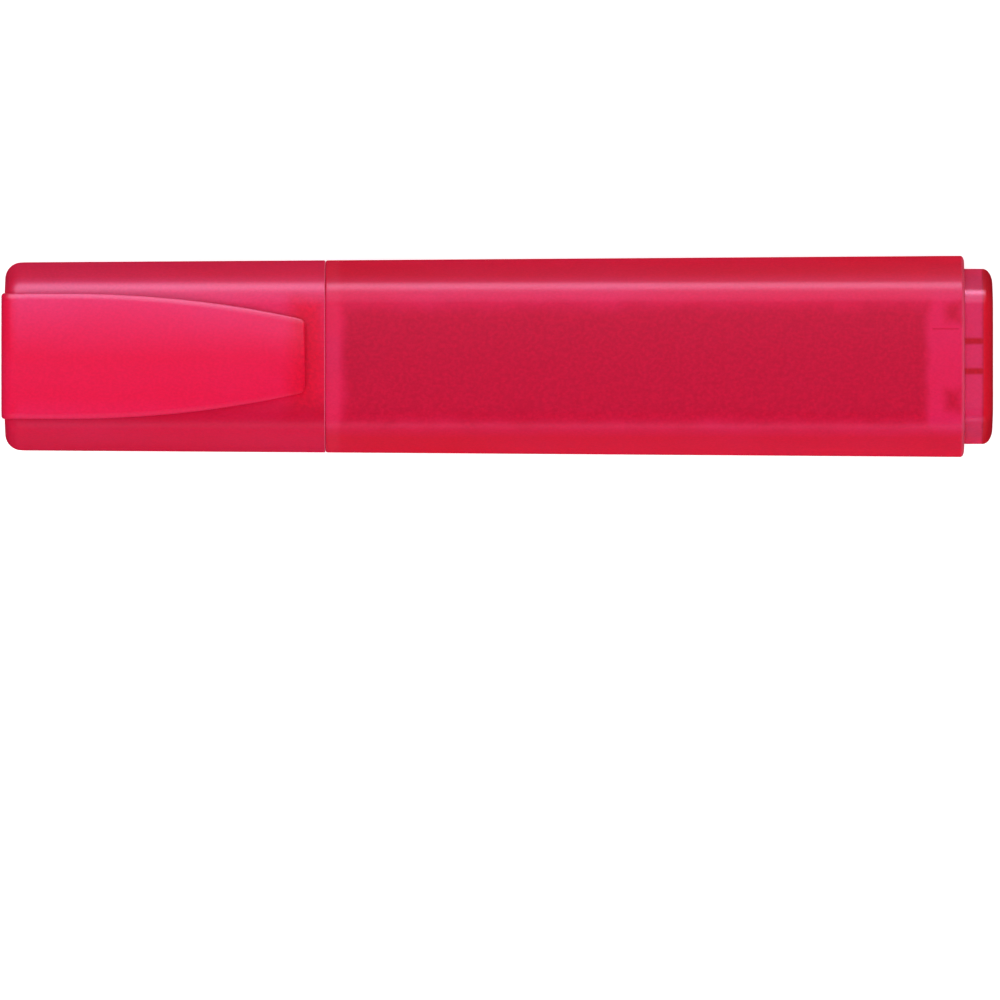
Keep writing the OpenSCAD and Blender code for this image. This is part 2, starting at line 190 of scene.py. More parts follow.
class Skin:
    """A mesh under construction, made of rings of equally many points."""

    SHARP = math.radians(38)

    def __init__(self, name: str) -> None:
        """Starts an empty mesh for the piece called name."""
        self.name = name
        self.bm = bmesh.new()

    def loft(self, rings: list[Ring], loop: bool = False) -> None:
        """Skins the rings in order.

        Args:
            rings: the rows, each with the same number of points.
            loop: joins the last row to the first; otherwise both ends are closed.
        """
        rows = [[self.bm.verts.new(p) for p in ring.points] for ring in rings]
        n = len(rows[0])
        pairs = list(zip(rows, rows[1:], rings)) + ([(rows[-1], rows[0], rings[-1])] if loop else [])
        for one, two, ring in pairs:
            for j in range(n):
                k = (j + 1) % n
                face = self.bm.faces.new((one[j], one[k], two[k], two[j]))
                face.material_index = ring.slot
        if not loop:
            self.bm.faces.new(rows[0][::-1]).material_index = rings[0].slot
            self.bm.faces.new(rows[-1]).material_index = rings[-1].slot

    def block(self, low: Vector, high: Vector, slot: int = 0) -> None:
        """Adds a plain box between two corners, for ribs and lugs.

        Args:
            low: lower corner.
            high: upper corner.
            slot: number of the finish of its faces.
        """
        made = bmesh.ops.create_cube(self.bm, size=1.0)["verts"]
        for v in made:
            v.co = Vector(
                (low[i] + high[i]) / 2 + v.co[i] * (high[i] - low[i]) for i in range(3)
            )
        for face in {f for v in made for f in v.link_faces}:
            face.material_index = slot

    def prism(self, outline: list[Point2], y_low: float, y_high: float, slot: int = 0) -> None:
        """Adds a plate: an outline in the XZ plane, carried from y_low to y_high.

        Args:
            outline: the (x, z) points in order.
            y_low: one face of the plate.
            y_high: its other face.
            slot: number of the finish of its faces.
        """
        near = [self.bm.verts.new((x, y_low, z)) for x, z in outline]
        far = [self.bm.verts.new((x, y_high, z)) for x, z in outline]
        n = len(outline)
        faces = [self.bm.faces.new(near), self.bm.faces.new(far[::-1])]
        for j in range(n):
            k = (j + 1) % n
            faces.append(self.bm.faces.new((near[j], far[j], far[k], near[k])))
        for face in faces:
            face.material_index = slot

    def finish(self, materials: list[bpy.types.Material]) -> bpy.types.Object:
        """Closes the mesh, turns its faces outwards and links it as an object at the origin.

        Args:
            materials: the finishes, in the order of their slot numbers.

        Returns:
            The linked object, with its place in its mesh.
        """
        bmesh.ops.remove_doubles(self.bm, verts=self.bm.verts, dist=1e-7)
        bmesh.ops.recalc_face_normals(self.bm, faces=self.bm.faces)
        mesh = bpy.data.meshes.new(self.name)
        self.bm.to_mesh(mesh)
        self.bm.free()
        shade(mesh, self.SHARP)
        for material in materials:
            mesh.materials.append(material)
        piece = bpy.data.objects.new(self.name, mesh)
        bpy.context.scene.collection.objects.link(piece)
        return piece


def shade(mesh: bpy.types.Mesh, sharp: float) -> None:
    """Shades a mesh smooth, apart from edges that turn by more than sharp.

    Args:
        mesh: the mesh to shade.
        sharp: the angle, in radians.
    """
    mesh.polygons.foreach_set("use_smooth", [True] * len(mesh.polygons))
    mesh.set_sharp_from_angle(angle=sharp)
    mesh.update()


def settle(piece: bpy.types.Object) -> bpy.types.Object:
    """Turns a piece's modifiers into plain mesh and removes them.

    Args:
        piece: object with modifiers on it.

    Returns:
        The same object, with the evaluated shape as its own mesh.
    """
    graph = bpy.context.evaluated_depsgraph_get()
    mesh = bpy.data.meshes.new_from_object(piece.evaluated_get(graph), depsgraph=graph)
    piece.modifiers.clear()
    piece.data = mesh
    return piece


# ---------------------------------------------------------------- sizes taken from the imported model


@dataclass(frozen=True)
class PenSizes:
    """Places and sizes of the pen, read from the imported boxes, and the shape of its sections."""

    x_collar: float
    x_horn: float
    x_rear: float
    x_plug_end: float
    x_cap_out: float
    x_mouth: float
    x_skirt: float
    x_clip: float
    x_clip_tip: float
    body_w: float
    body_t: float
    collar_d: float
    clip_top: float
    clip_half: float
    horn_len: float = 14.1 * MM
    face_w: float = 15.9 * MM
    side_h: float = 1.6 * MM
    bevel_r: float = 26 * MM
    barrel_draft: float = math.radians(0.41)
    cap_draft: float = math.radians(0.38)
    cap_wall: float = 0.95 * MM
    cap_fit: float = 0.08 * MM
    root_proud: float = 0.33 * MM

    @classmethod
    def from_frame(cls) -> "PenSizes":
        """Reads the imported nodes' boxes.

        Returns:
            The sizes, with the section's own values left as they are.
        """
        barrel, holder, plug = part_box("barrel"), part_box("nib_holder"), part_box("end_plug")
        cap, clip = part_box("cap_shell"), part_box("clip")
        return cls(
            x_collar=holder[0].x,
            x_horn=barrel[0].x,
            x_rear=barrel[1].x,
            x_plug_end=plug[1].x,
            x_cap_out=cap[0].x,
            x_mouth=cap[1].x,
            x_skirt=plug[0].x,
            x_clip=clip[0].x,
            x_clip_tip=clip[1].x,
            body_w=barrel[1].y - barrel[0].y,
            body_t=barrel[1].z - barrel[0].z,
            collar_d=holder[1].y - holder[0].y,
            clip_top=clip[1].z,
            clip_half=clip[1].y,
        )

    @property
    def x_shoulder(self) -> float:
        """Where the barrel's full width begins."""
        return self.x_horn + self.horn_len

    @property
    def x_cap_end(self) -> float:
        """The cap's closed end, without the clip's root."""
        return self.x_cap_out + self.root_proud

    @property
    def axis_z(self) -> float:
        """Height of the pen's axis."""
        return self.body_t / 2

    def barrel_at(self, x: float) -> Section:
        """The barrel's section at x."""
        half_w = self.body_w / 2 - (self.x_rear - x) * math.tan(self.barrel_draft)
        return Section(half_w, self.body_t / 2, self.face_w / 2, self.side_h / 2, self.bevel_r)

    def cap_at(self, x: float) -> Section:
        """The cap's section at x."""
        whole = self.barrel_at(self.x_shoulder)
        return replace(whole, half_w=whole.half_w - (self.x_mouth - x) * math.tan(self.cap_draft))

    def spigot(self) -> Section:
        """What the cap's mouth fits round, at the horn's base and on the end plug."""
        return self.cap_at(self.x_mouth).inset(self.cap_wall + self.cap_fit)

    def ring(self, x: float, section: Section, corner_r: float, crown: float = 0.0, slot: int = 0) -> Ring:
        """A section's outline in the plane at x."""
        outline = section.outline(corner_r, crown)
        return Ring([Vector((x, y, self.axis_z + z)) for y, z in outline], slot)


# ---------------------------------------------------------------- finishes


class Wiring:
    """Short ways to add and join the nodes of one material."""

    def __init__(self, name: str) -> None:
        """Starts a material that holds one Principled shader.

        Args:
            name: name of the material.
        """
        self.material = bpy.data.materials.new(name)
        self.material.use_nodes = True
        self.tree = self.material.node_tree
        self.shader = self.tree.nodes["Principled BSDF"]
        self.place = self.tree.nodes.new("ShaderNodeTexCoord").outputs["Object"]

    def set(self, **values: float | Colour) -> None:
        """Sets sockets of the shader, named with _ in place of spaces.

        Args:
            values: numbers and colours, by socket name.
        """
        for name, value in values.items():
            socket = self.shader.inputs[name.replace("_", " ")]
            is_colour = isinstance(value, tuple) and socket.type == "RGBA"
            socket.default_value = (*value, 1.0) if is_colour else value

    def node(self, kind: str, **settings: object) -> bpy.types.Node:
        """Adds a node and sets its properties.

        Args:
            kind: the node's type, without its usual first part.
            settings: properties of the node, by name.

        Returns:
            The new node.
        """
        made = self.tree.nodes.new("ShaderNode" + kind)
        for name, value in settings.items():
            setattr(made, name, value)
        return made

    def link(self, source: bpy.types.NodeSocket, target: bpy.types.NodeSocket) -> None:
        """Joins two sockets."""
        self.tree.links.new(source, target)

    def noise(self, scale: float, detail: float = 2.0, stretch: Colour = (1, 1, 1)) -> bpy.types.NodeSocket:
        """A noise in object coordinates.

        Args:
            scale: patches per metre.
            detail: octaves.
            stretch: scale of each axis, for grain that runs along the pen.

        Returns:
            The socket with a value of about 0.5 on average.
        """
        mapping = self.node("Mapping")
        mapping.inputs["Scale"].default_value = stretch
        self.link(self.place, mapping.inputs["Vector"])
        noise = self.node("TexNoise")
        noise.inputs["Scale"].default_value = scale
        noise.inputs["Detail"].default_value = detail
        self.link(mapping.outputs["Vector"], noise.inputs["Vector"])
        return noise.outputs["Fac"]

    def math(self, operation: str, a: object, b: object = 0.0) -> bpy.types.NodeSocket:
        """A Math node on sockets or numbers.

        Args:
            operation: what the node does, such as ADD.
            a: first number or socket.
            b: second number or socket, where the operation has one.

        Returns:
            The socket with the outcome.
        """
        made = self.node("Math", operation=operation)
        for socket, value in zip(made.inputs, (a, b)):
            if isinstance(value, bpy.types.NodeSocket):
                self.link(value, socket)
            else:
                socket.default_value = value
        return made.outputs[0]

    def ramp(self, value: bpy.types.NodeSocket, low: float, high: float) -> bpy.types.NodeSocket:
        """A share that runs smoothly from 0 to 1 between two values.

        Args:
            value: the socket that is read.
            low: value that gives 0.
            high: value that gives 1; it may be the smaller one.

        Returns:
            The socket with the share.
        """
        made = self.node("MapRange", interpolation_type="SMOOTHSTEP")
        made.inputs["From Min"].default_value = low
        made.inputs["From Max"].default_value = high
        self.link(value, made.inputs["Value"])
        return made.outputs["Result"]

    def mix(self, share: bpy.types.NodeSocket, a: object, b: object) -> bpy.types.NodeSocket:
        """A colour between two others.

        Args:
            share: socket with the share of b.
            a: colour or colour socket at share 0.
            b: colour or colour socket at share 1.

        Returns:
            The socket with the mixed colour.
        """
        made = self.node("Mix", data_type="RGBA")
        self.link(share, made.inputs["Factor"])
        for socket, value in zip((made.inputs[6], made.inputs[7]), (a, b)):
            if isinstance(value, bpy.types.NodeSocket):
                self.link(value, socket)
            else:
                socket.default_value = (*value, 1.0)
        return made.outputs[2]

    def scale(self, colour: bpy.types.NodeSocket, factor: bpy.types.NodeSocket) -> bpy.types.NodeSocket:
        """A colour made darker or lighter by a factor.

        Args:
            colour: socket with the colour.
            factor: socket with the factor.

        Returns:
            The socket with the outcome.
        """
        made = self.node("VectorMath", operation="SCALE")
        self.link(colour, made.inputs[0])
        self.link(factor, made.inputs["Scale"])
        return made.outputs["Vector"]

    def axes(self) -> tuple[bpy.types.NodeSocket, ...]:
        """The three object coordinates.

        Returns:
            The sockets of X, Y and Z.
        """
        parts = self.node("SeparateXYZ")
        self.link(self.place, parts.inputs[0])
        return tuple(parts.outputs)

    def beyond(self, axis: int, low: float, high: float) -> bpy.types.NodeSocket:
        """How far a place lies outside low to high on one object axis: negative between them."""
        offset = self.math("SUBTRACT", self.axes()[axis], (low + high) / 2)
        return self.math("SUBTRACT", self.math("ABSOLUTE", offset), (high - low) / 2)

    def see_through(self, opacity: float, tint: Colour) -> None:
        """Lets what is behind show through, tinted, where the shader isn't opaque.

        Args:
            opacity: share of the shader in what one sees.
            tint: colour that the wall gives to what is behind it.
        """
        clear = self.node("BsdfTransparent")
        clear.inputs["Color"].default_value = (*tint, 1.0)
        blend = self.node("MixShader")
        blend.inputs["Fac"].default_value = opacity
        self.link(clear.outputs[0], blend.inputs[1])
        self.link(self.shader.outputs[0], blend.inputs[2])
        self.link(blend.outputs[0], self.tree.nodes["Material Output"].inputs["Surface"])

    def bump(self, height: bpy.types.NodeSocket, strength: float, distance: float) -> None:
        """Feeds a height into the shader's normal.

        Args:
            height: socket with the height.
            strength: share of the effect.
            distance: depth of the relief, in metres.
        """
        made = self.node("Bump")
        made.inputs["Strength"].default_value = strength
        made.inputs["Distance"].default_value = distance
        self.link(height, made.inputs["Height"])
        self.link(made.outputs["Normal"], self.shader.inputs["Normal"])


class Surface(Enum):
    """How a moulded plastic surface was finished in the tool."""

    FROSTED = "frosted"
    POLISHED = "polished"


class PaintedSheen(Enum):
    """Whether a painted sheen lies on one side of a frosted surface."""

    EVEN = "even"
    ONE_SIDED = "one_sided"


@dataclass(frozen=True)
class Shadow:
    """A dark patch on a see-through wall, for something close behind it and also for painted shade: its
    extent in X and Y, and how softly it shows.
    """

    x: Point2
    y: Point2
    blur: Point2
    wander: float = 0.0

    def clearness(self, w: Wiring, wave: bpy.types.NodeSocket) -> bpy.types.NodeSocket:
        """How little the shadow shows: 0 inside it and 1 well outside.

        Args:
            w: the material under construction.
            wave: socket with a slow noise about 0, which makes the edge wander.

        Returns:
            The socket with the share.
        """
        sway = w.math("MULTIPLY", wave, self.wander)
        shares = []
        for axis, (low, high), blur in ((0, self.x, self.blur[0]), (1, self.y, self.blur[1])):
            shares.append(w.ramp(w.math("ADD", w.beyond(axis, low, high), sway), -blur, blur))
        return w.math("MAXIMUM", *shares)


@dataclass(frozen=True)
class Rim:
    """A cut edge of a wall, at x, that looks pale because it pipes light."""

    x: float
    width: float
    share: float


@dataclass(frozen=True)
class MouldedPlastic:
    """See-through moulded plastic with its tint, its clouding, the grain of its surface and painted light
    and shade.
    """

    # patches per metre of each noise, from the broadest to the finest
    PATCHES = 45
    CLOUDS = 70
    RIPPLES = 160
    WAVES = 260
    SPECKLES = 2000
    GRAINS = 3800
    FROST = 5200

    name: str
    tint: Colour
    # Painted shade: the colour of the slanting flanks.
    flank_shade: Colour
    surface: Surface = Surface.FROSTED
    opacity: float = 0.72
    roughness: float = 0.34
    shine: float = 0.2
    shine_tint: Colour = (0.85, 0.42, 0.73)
    stain: Colour = (1.0, 0.055, 0.11)
    glow: float = 0.35
    # Painted sheen: a pale band towards +Y where the lamps' sheen falls, left out at the clip's fold before
    # the start x.
    painted_sheen: PaintedSheen = PaintedSheen.EVEN
    painted_sheen_start: float = -FAR
    shadows: tuple[Shadow, ...] = ()
    shade: Colour = (0.68, 0.0085, 0.053)
    rims: tuple[Rim, ...] = ()
    rim_tint: Colour = (1.0, 0.2, 0.34)
    grain: float = 0.05
    axis_z: float = 6.75 * MM
    flank: Point2 = (3.5 * MM, 6.4 * MM)
    clip_z: Point2 = (14.2 * MM, 14.8 * MM)
    # Painted glow: in front of this x, light passing through the wall is painted as a paler colour.
    painted_glow_end: float = -FAR
    painted_glow_tint: Colour = (1.0, 0.06, 0.21)

    def painted_lee_shade(self, w: Wiring) -> bpy.types.NodeSocket:
        """Painted shade on the side away from the brighter light, below the raised clip.

        Args:
            w: the material under construction.

        Returns:
            The socket with the share, 1 on the flat face and less on the bevel.
        """
        _, y, z = w.axes()
        under_clip = w.ramp(z, self.clip_z[0] + 0.1 * MM, self.clip_z[0] - 0.5 * MM)
        flat = w.math("ADD", w.math("MULTIPLY", w.ramp(z, 11.5 * MM, 13.0 * MM), 0.75), 0.25)
        return w.math("MULTIPLY", w.ramp(y, -4.0 * MM, -7.0 * MM), w.math("MULTIPLY", under_clip, flat))

    def painted_sheen_band(self, w: Wiring) -> bpy.types.NodeSocket:
        """Where the painted sheen lies: towards +Y, and faintly along the clip's other edge.

        Args:
            w: the material under construction.

        Returns:
            The socket with the share, 0 at the fold of the clip.
        """
        x, y, z = w.axes()
        upper = w.ramp(y, -2.5 * MM, 8.0 * MM)
        on_clip = w.ramp(z, *self.clip_z)
        lower = w.math("MULTIPLY", w.ramp(y, -2.5 * MM, -9.0 * MM), on_clip)
        band = w.math("ADD", upper, w.math("MULTIPLY", lower, 0.4))
        fold = w.ramp(x, self.painted_sheen_start, self.painted_sheen_start + 2.0 * MM)
        return w.math("MULTIPLY", fold, w.math("MULTIPLY", band, 1.25))

    def paleness(self, w: Wiring) -> bpy.types.NodeSocket:
        """How pale the plastic is: the deeper colour painted as shade where one looks through slanting
        flanks, a painted glow in front of the set end, a one-sided painted sheen where set, and light
        clouding.

        Args:
            w: the material under construction.

        Returns:
            The socket with the share of the pale tint.
        """
        x, _, z = w.axes()
        height = w.math("ABSOLUTE", w.math("SUBTRACT", z, self.axis_z))
        # Painted shade: the slanting flanks take the deeper, darker colour, the faces the paler tint.
        level = w.ramp(height, *self.flank)
        # Painted glow: in front of the set end the flanks keep the pale tint.
        front = w.ramp(x, self.painted_glow_end + 0.5 * MM, self.painted_glow_end - 0.5 * MM)
        cloud = w.ramp(w.noise(self.CLOUDS, 3, (0.45, 1, 1)), 0.3, 0.7)
        share = w.math("ADD", w.math("MULTIPLY", cloud, 0.4), 0.6)
        # Painted sheen: the pale share follows the band towards +Y.
        if self.painted_sheen is PaintedSheen.ONE_SIDED:
            share = w.math("MULTIPLY", share, self.painted_sheen_band(w))
        full = w.math("MULTIPLY", w.math("MAXIMUM", level, front), share)
        return w.math("MAXIMUM", full, w.math("MULTIPLY", cloud, 0.22))

    def painted_horn_glow(self, w: Wiring, colour: bpy.types.NodeSocket) -> bpy.types.NodeSocket:
        """Paints a glow of light passing through the wall in front of the set end, where nothing dark lies
        behind it.

        Args:
            w: the material under construction.
            colour: socket with the colour so far.

        Returns:
            The socket with the new colour.
        """
        horn = w.ramp(w.axes()[0], self.painted_glow_end - 0.2 * MM, self.painted_glow_end - 0.6 * MM)
        lit = w.ramp(w.noise(self.PATCHES, 2), 0.3, 0.65)
        horn = w.math("MULTIPLY", horn, w.math("ADD", w.math("MULTIPLY", lit, 0.5), 0.5))
        return w.mix(horn, colour, self.painted_glow_tint)

    def shadowed(self, w: Wiring, colour: bpy.types.NodeSocket) -> bpy.types.NodeSocket:
        """Darkens the wall over what lies close behind it, and where shade is painted.

        Args:
            w: the material under construction.
            colour: socket with the colour so far.

        Returns:
            The socket with the new colour.
        """
        wave = w.math("SUBTRACT", w.noise(self.WAVES, 3), 0.5)
        clear = self.shadows[0].clearness(w, wave)
        for shadow in self.shadows[1:]:
            clear = w.math("MINIMUM", clear, shadow.clearness(w, wave))
        speckle = w.ramp(w.noise(self.SPECKLES, 4), 0.35, 0.68)
        mottled = w.mix(speckle, self.shade, tuple(1.16 * c for c in self.shade))
        return w.mix(clear, mottled, colour)

    def colour(self, w: Wiring) -> bpy.types.NodeSocket:
        """Colour of the wall.

        Args:
            w: the material under construction.

        Returns:
            The socket with the colour, from the tint to the rims and the grain.
        """
        # Painted shade: the flanks get the deeper, darker colour and the faces the tint.
        colour = w.mix(self.paleness(w), self.flank_shade, self.tint)
        # Painted glow of light through the horn.
        if self.painted_glow_end > -FAR:
            colour = self.painted_horn_glow(w, colour)
        if self.shadows:
            colour = self.shadowed(w, colour)
        # Painted shade: where the sheen is one-sided, the -Y side below the clip is darkened.
        if self.painted_sheen is PaintedSheen.ONE_SIDED:
            colour = w.scale(colour, w.math("SUBTRACT", 1.0, w.math("MULTIPLY", self.painted_lee_shade(w), 0.24)))
        for rim in self.rims:
            away = w.math("ABSOLUTE", w.math("SUBTRACT", w.axes()[0], rim.x))
            near = w.math("MULTIPLY", w.ramp(away, rim.width, 0.3 * rim.width), rim.share)
            colour = w.mix(near, colour, self.rim_tint)
        grain = w.ramp(w.noise(self.GRAINS, 4, (0.7, 1, 1)), 0.3, 0.72)
        return w.scale(colour, w.math("ADD", w.math("MULTIPLY", grain, 2 * self.grain), 1 - self.grain))

    def make(self) -> bpy.types.Material:
        """Builds the material.

        Returns:
            A tinted, slightly see-through plastic with a frosted or a polished surface.
        """
        w = Wiring(self.name)
        w.set(
            Roughness=self.roughness,
            Specular_IOR_Level=self.shine,
            Specular_Tint=self.shine_tint,
            Subsurface_Weight=self.glow,
            Subsurface_Radius=(1.0, 0.22, 0.3),
            Subsurface_Scale=1.5 * MM,
        )
        w.link(self.colour(w), w.shader.inputs["Base Color"])
        w.see_through(self.opacity, self.stain)
        if self.surface is Surface.FROSTED:
            w.bump(w.noise(self.FROST, 3), 0.16, 0.03 * MM)
        else:
            w.bump(w.noise(self.RIPPLES, 2), 0.12, 0.05 * MM)
        return w.material


@dataclass(frozen=True)
class InkedFibre:
    """Pressed or bundled fibre that is soaked in ink, with its grain along the pen."""

    name: str
    dry: Colour
    wet: Colour
    grain: float = 3200.0
    along: float = 0.12

    def make(self) -> bpy.types.Material:
        """Builds the material.

        Returns:
            A matt, dark, fibrous material.
        """
        w = Wiring(self.name)
        w.set(Roughness=0.7, Specular_IOR_Level=0.08, Specular_Tint=(0.8, 0.45, 0.75))
        grain = w.noise(self.grain, 4, (self.along, 1, 1))
        blotch = w.ramp(w.noise(520, 3), 0.35, 0.7)
        fine = w.ramp(grain, 0.35, 0.65)
        share = w.math("MULTIPLY", w.math("ADD", blotch, fine), 0.5)
        w.link(w.mix(share, self.wet, self.dry), w.shader.inputs["Base Color"])
        w.bump(grain, 0.5, 0.06 * MM)
        return w.material


@dataclass(frozen=True)
class Paper:
    """Matt white sheet for the floor."""

    name: str = "floor_white"
    colour: Colour = (0.9, 0.9, 0.9)
    lift: float = 0.6

    def make(self) -> bpy.types.Material:
        """Builds the material, slightly self-lit so that contact shadows stay soft.

        Returns:
            A plain pale material.
        """
        w = Wiring(self.name)
        w.set(Roughness=0.9, Specular_IOR_Level=0.1, Emission_Strength=self.lift)
        w.set(Emission_Color=(1.0, 1.0, 1.0))
        w.link(w.mix(w.noise(40), self.colour, self.colour), w.shader.inputs["Base Color"])
        return w.material


# ---------------------------------------------------------------- repeated small features


@dataclass(frozen=True)
class BlockGrid:
    """Equal blocks on a grid of rows and columns, made with Geometry Nodes."""

    name: str
    centre: Vector
    block: Vector
    columns: int
    column_step: float
    rows: int = 1
    row_step: float = 0.0

    def inputs(self, material: bpy.types.Material) -> dict[str, tuple[str, object]]:
        """The tree's named inputs.

        Args:
            material: the finish of every block.

        Returns:
            The socket type and the value of each input, by name.
        """
        return {
            "Centre": ("NodeSocketVector", self.centre),
            "Block Size": ("NodeSocketVector", self.block),
            "Columns": ("NodeSocketInt", self.columns),
            "Column Step": ("NodeSocketFloat", self.column_step),
            "Rows": ("NodeSocketInt", self.rows),
            "Row Step": ("NodeSocketFloat", self.row_step),
            "Finish": ("NodeSocketMaterial", material),
        }

    @staticmethod
    def line(tree: bpy.types.NodeTree, source: object, label: str, axis: str) -> bpy.types.NodeSocket:
        """A row of points along one axis.

        Args:
            tree: the node tree.
            source: outputs of the tree's input node.
            label: Column or Row, the first word of the inputs that the row reads.
            axis: X, Y or Z.

        Returns:
            The socket with the points.
        """
        points = tree.nodes.new("GeometryNodeMeshLine")
        step = tree.nodes.new("ShaderNodeCombineXYZ")
        tree.links.new(source[label + " Step"], step.inputs[axis])
        tree.links.new(source[label + "s"], points.inputs["Count"])
        tree.links.new(step.outputs["Vector"], points.inputs["Offset"])
        return points.outputs["Mesh"]

    @staticmethod
    def chain(tree: bpy.types.NodeTree, kind: str, **inputs: object) -> bpy.types.NodeSocket:
        """Adds a geometry node and feeds it.

        Args:
            tree: the node tree.
            kind: the node's type, without its usual first part.
            inputs: sockets to link, by the input's name.

        Returns:
            The node's first output.
        """
        node = tree.nodes.new("GeometryNode" + kind)
        for name, socket in inputs.items():
            tree.links.new(socket, node.inputs[name])
        return node.outputs[0]

    def make(self, material: bpy.types.Material) -> bpy.types.Object:
        """Builds the blocks as one mesh object.

        Args:
            material: the finish of every block.

        Returns:
            The object, at the origin, with no modifier left on it.
        """
        tree = bpy.data.node_groups.new(self.name + "_nodes", "GeometryNodeTree")
        ports, wanted = tree.interface, self.inputs(material)
        ports.new_socket("Geometry", in_out="OUTPUT", socket_type="NodeSocketGeometry")
        for label, (kind, _) in wanted.items():
            ports.new_socket(label, in_out="INPUT", socket_type=kind)
        source = tree.nodes.new("NodeGroupInput").outputs
        out = tree.nodes.new("NodeGroupOutput").inputs
        columns = self.line(tree, source, "Column", "Y")
        rows = self.line(tree, source, "Row", "Z")
        grid = self.chain(tree, "InstanceOnPoints", Points=columns, Instance=rows)
        points = self.chain(tree, "RealizeInstances", Geometry=grid)
        cube = tree.nodes.new("GeometryNodeMeshCube")
        tree.links.new(source["Block Size"], cube.inputs["Size"])
        blocks = self.chain(tree, "InstanceOnPoints", Points=points, Instance=cube.outputs["Mesh"])
        placed = self.chain(tree, "Transform", Geometry=blocks, Translation=source["Centre"])
        solid = self.chain(tree, "RealizeInstances", Geometry=placed)
        dressed = self.chain(tree, "SetMaterial", Geometry=solid, Material=source["Finish"])
        tree.links.new(dressed, out["Geometry"])
        piece = bpy.data.objects.new(self.name, bpy.data.meshes.new(self.name))
        bpy.context.scene.collection.objects.link(piece)
        modifier = piece.modifiers.new("blocks", "NODES")
        modifier.node_group = tree
        for socket in ports.items_tree:
            if socket.in_out == "INPUT":
                modifier[socket.identifier] = wanted[socket.name][1]
        return settle(piece)


def centred(middle: float, step: float, count: int) -> float:
    """Start of a row of count places, step apart, about a middle."""
    return middle - step * (count - 1) / 2


# ---------------------------------------------------------------- sub-assemblies


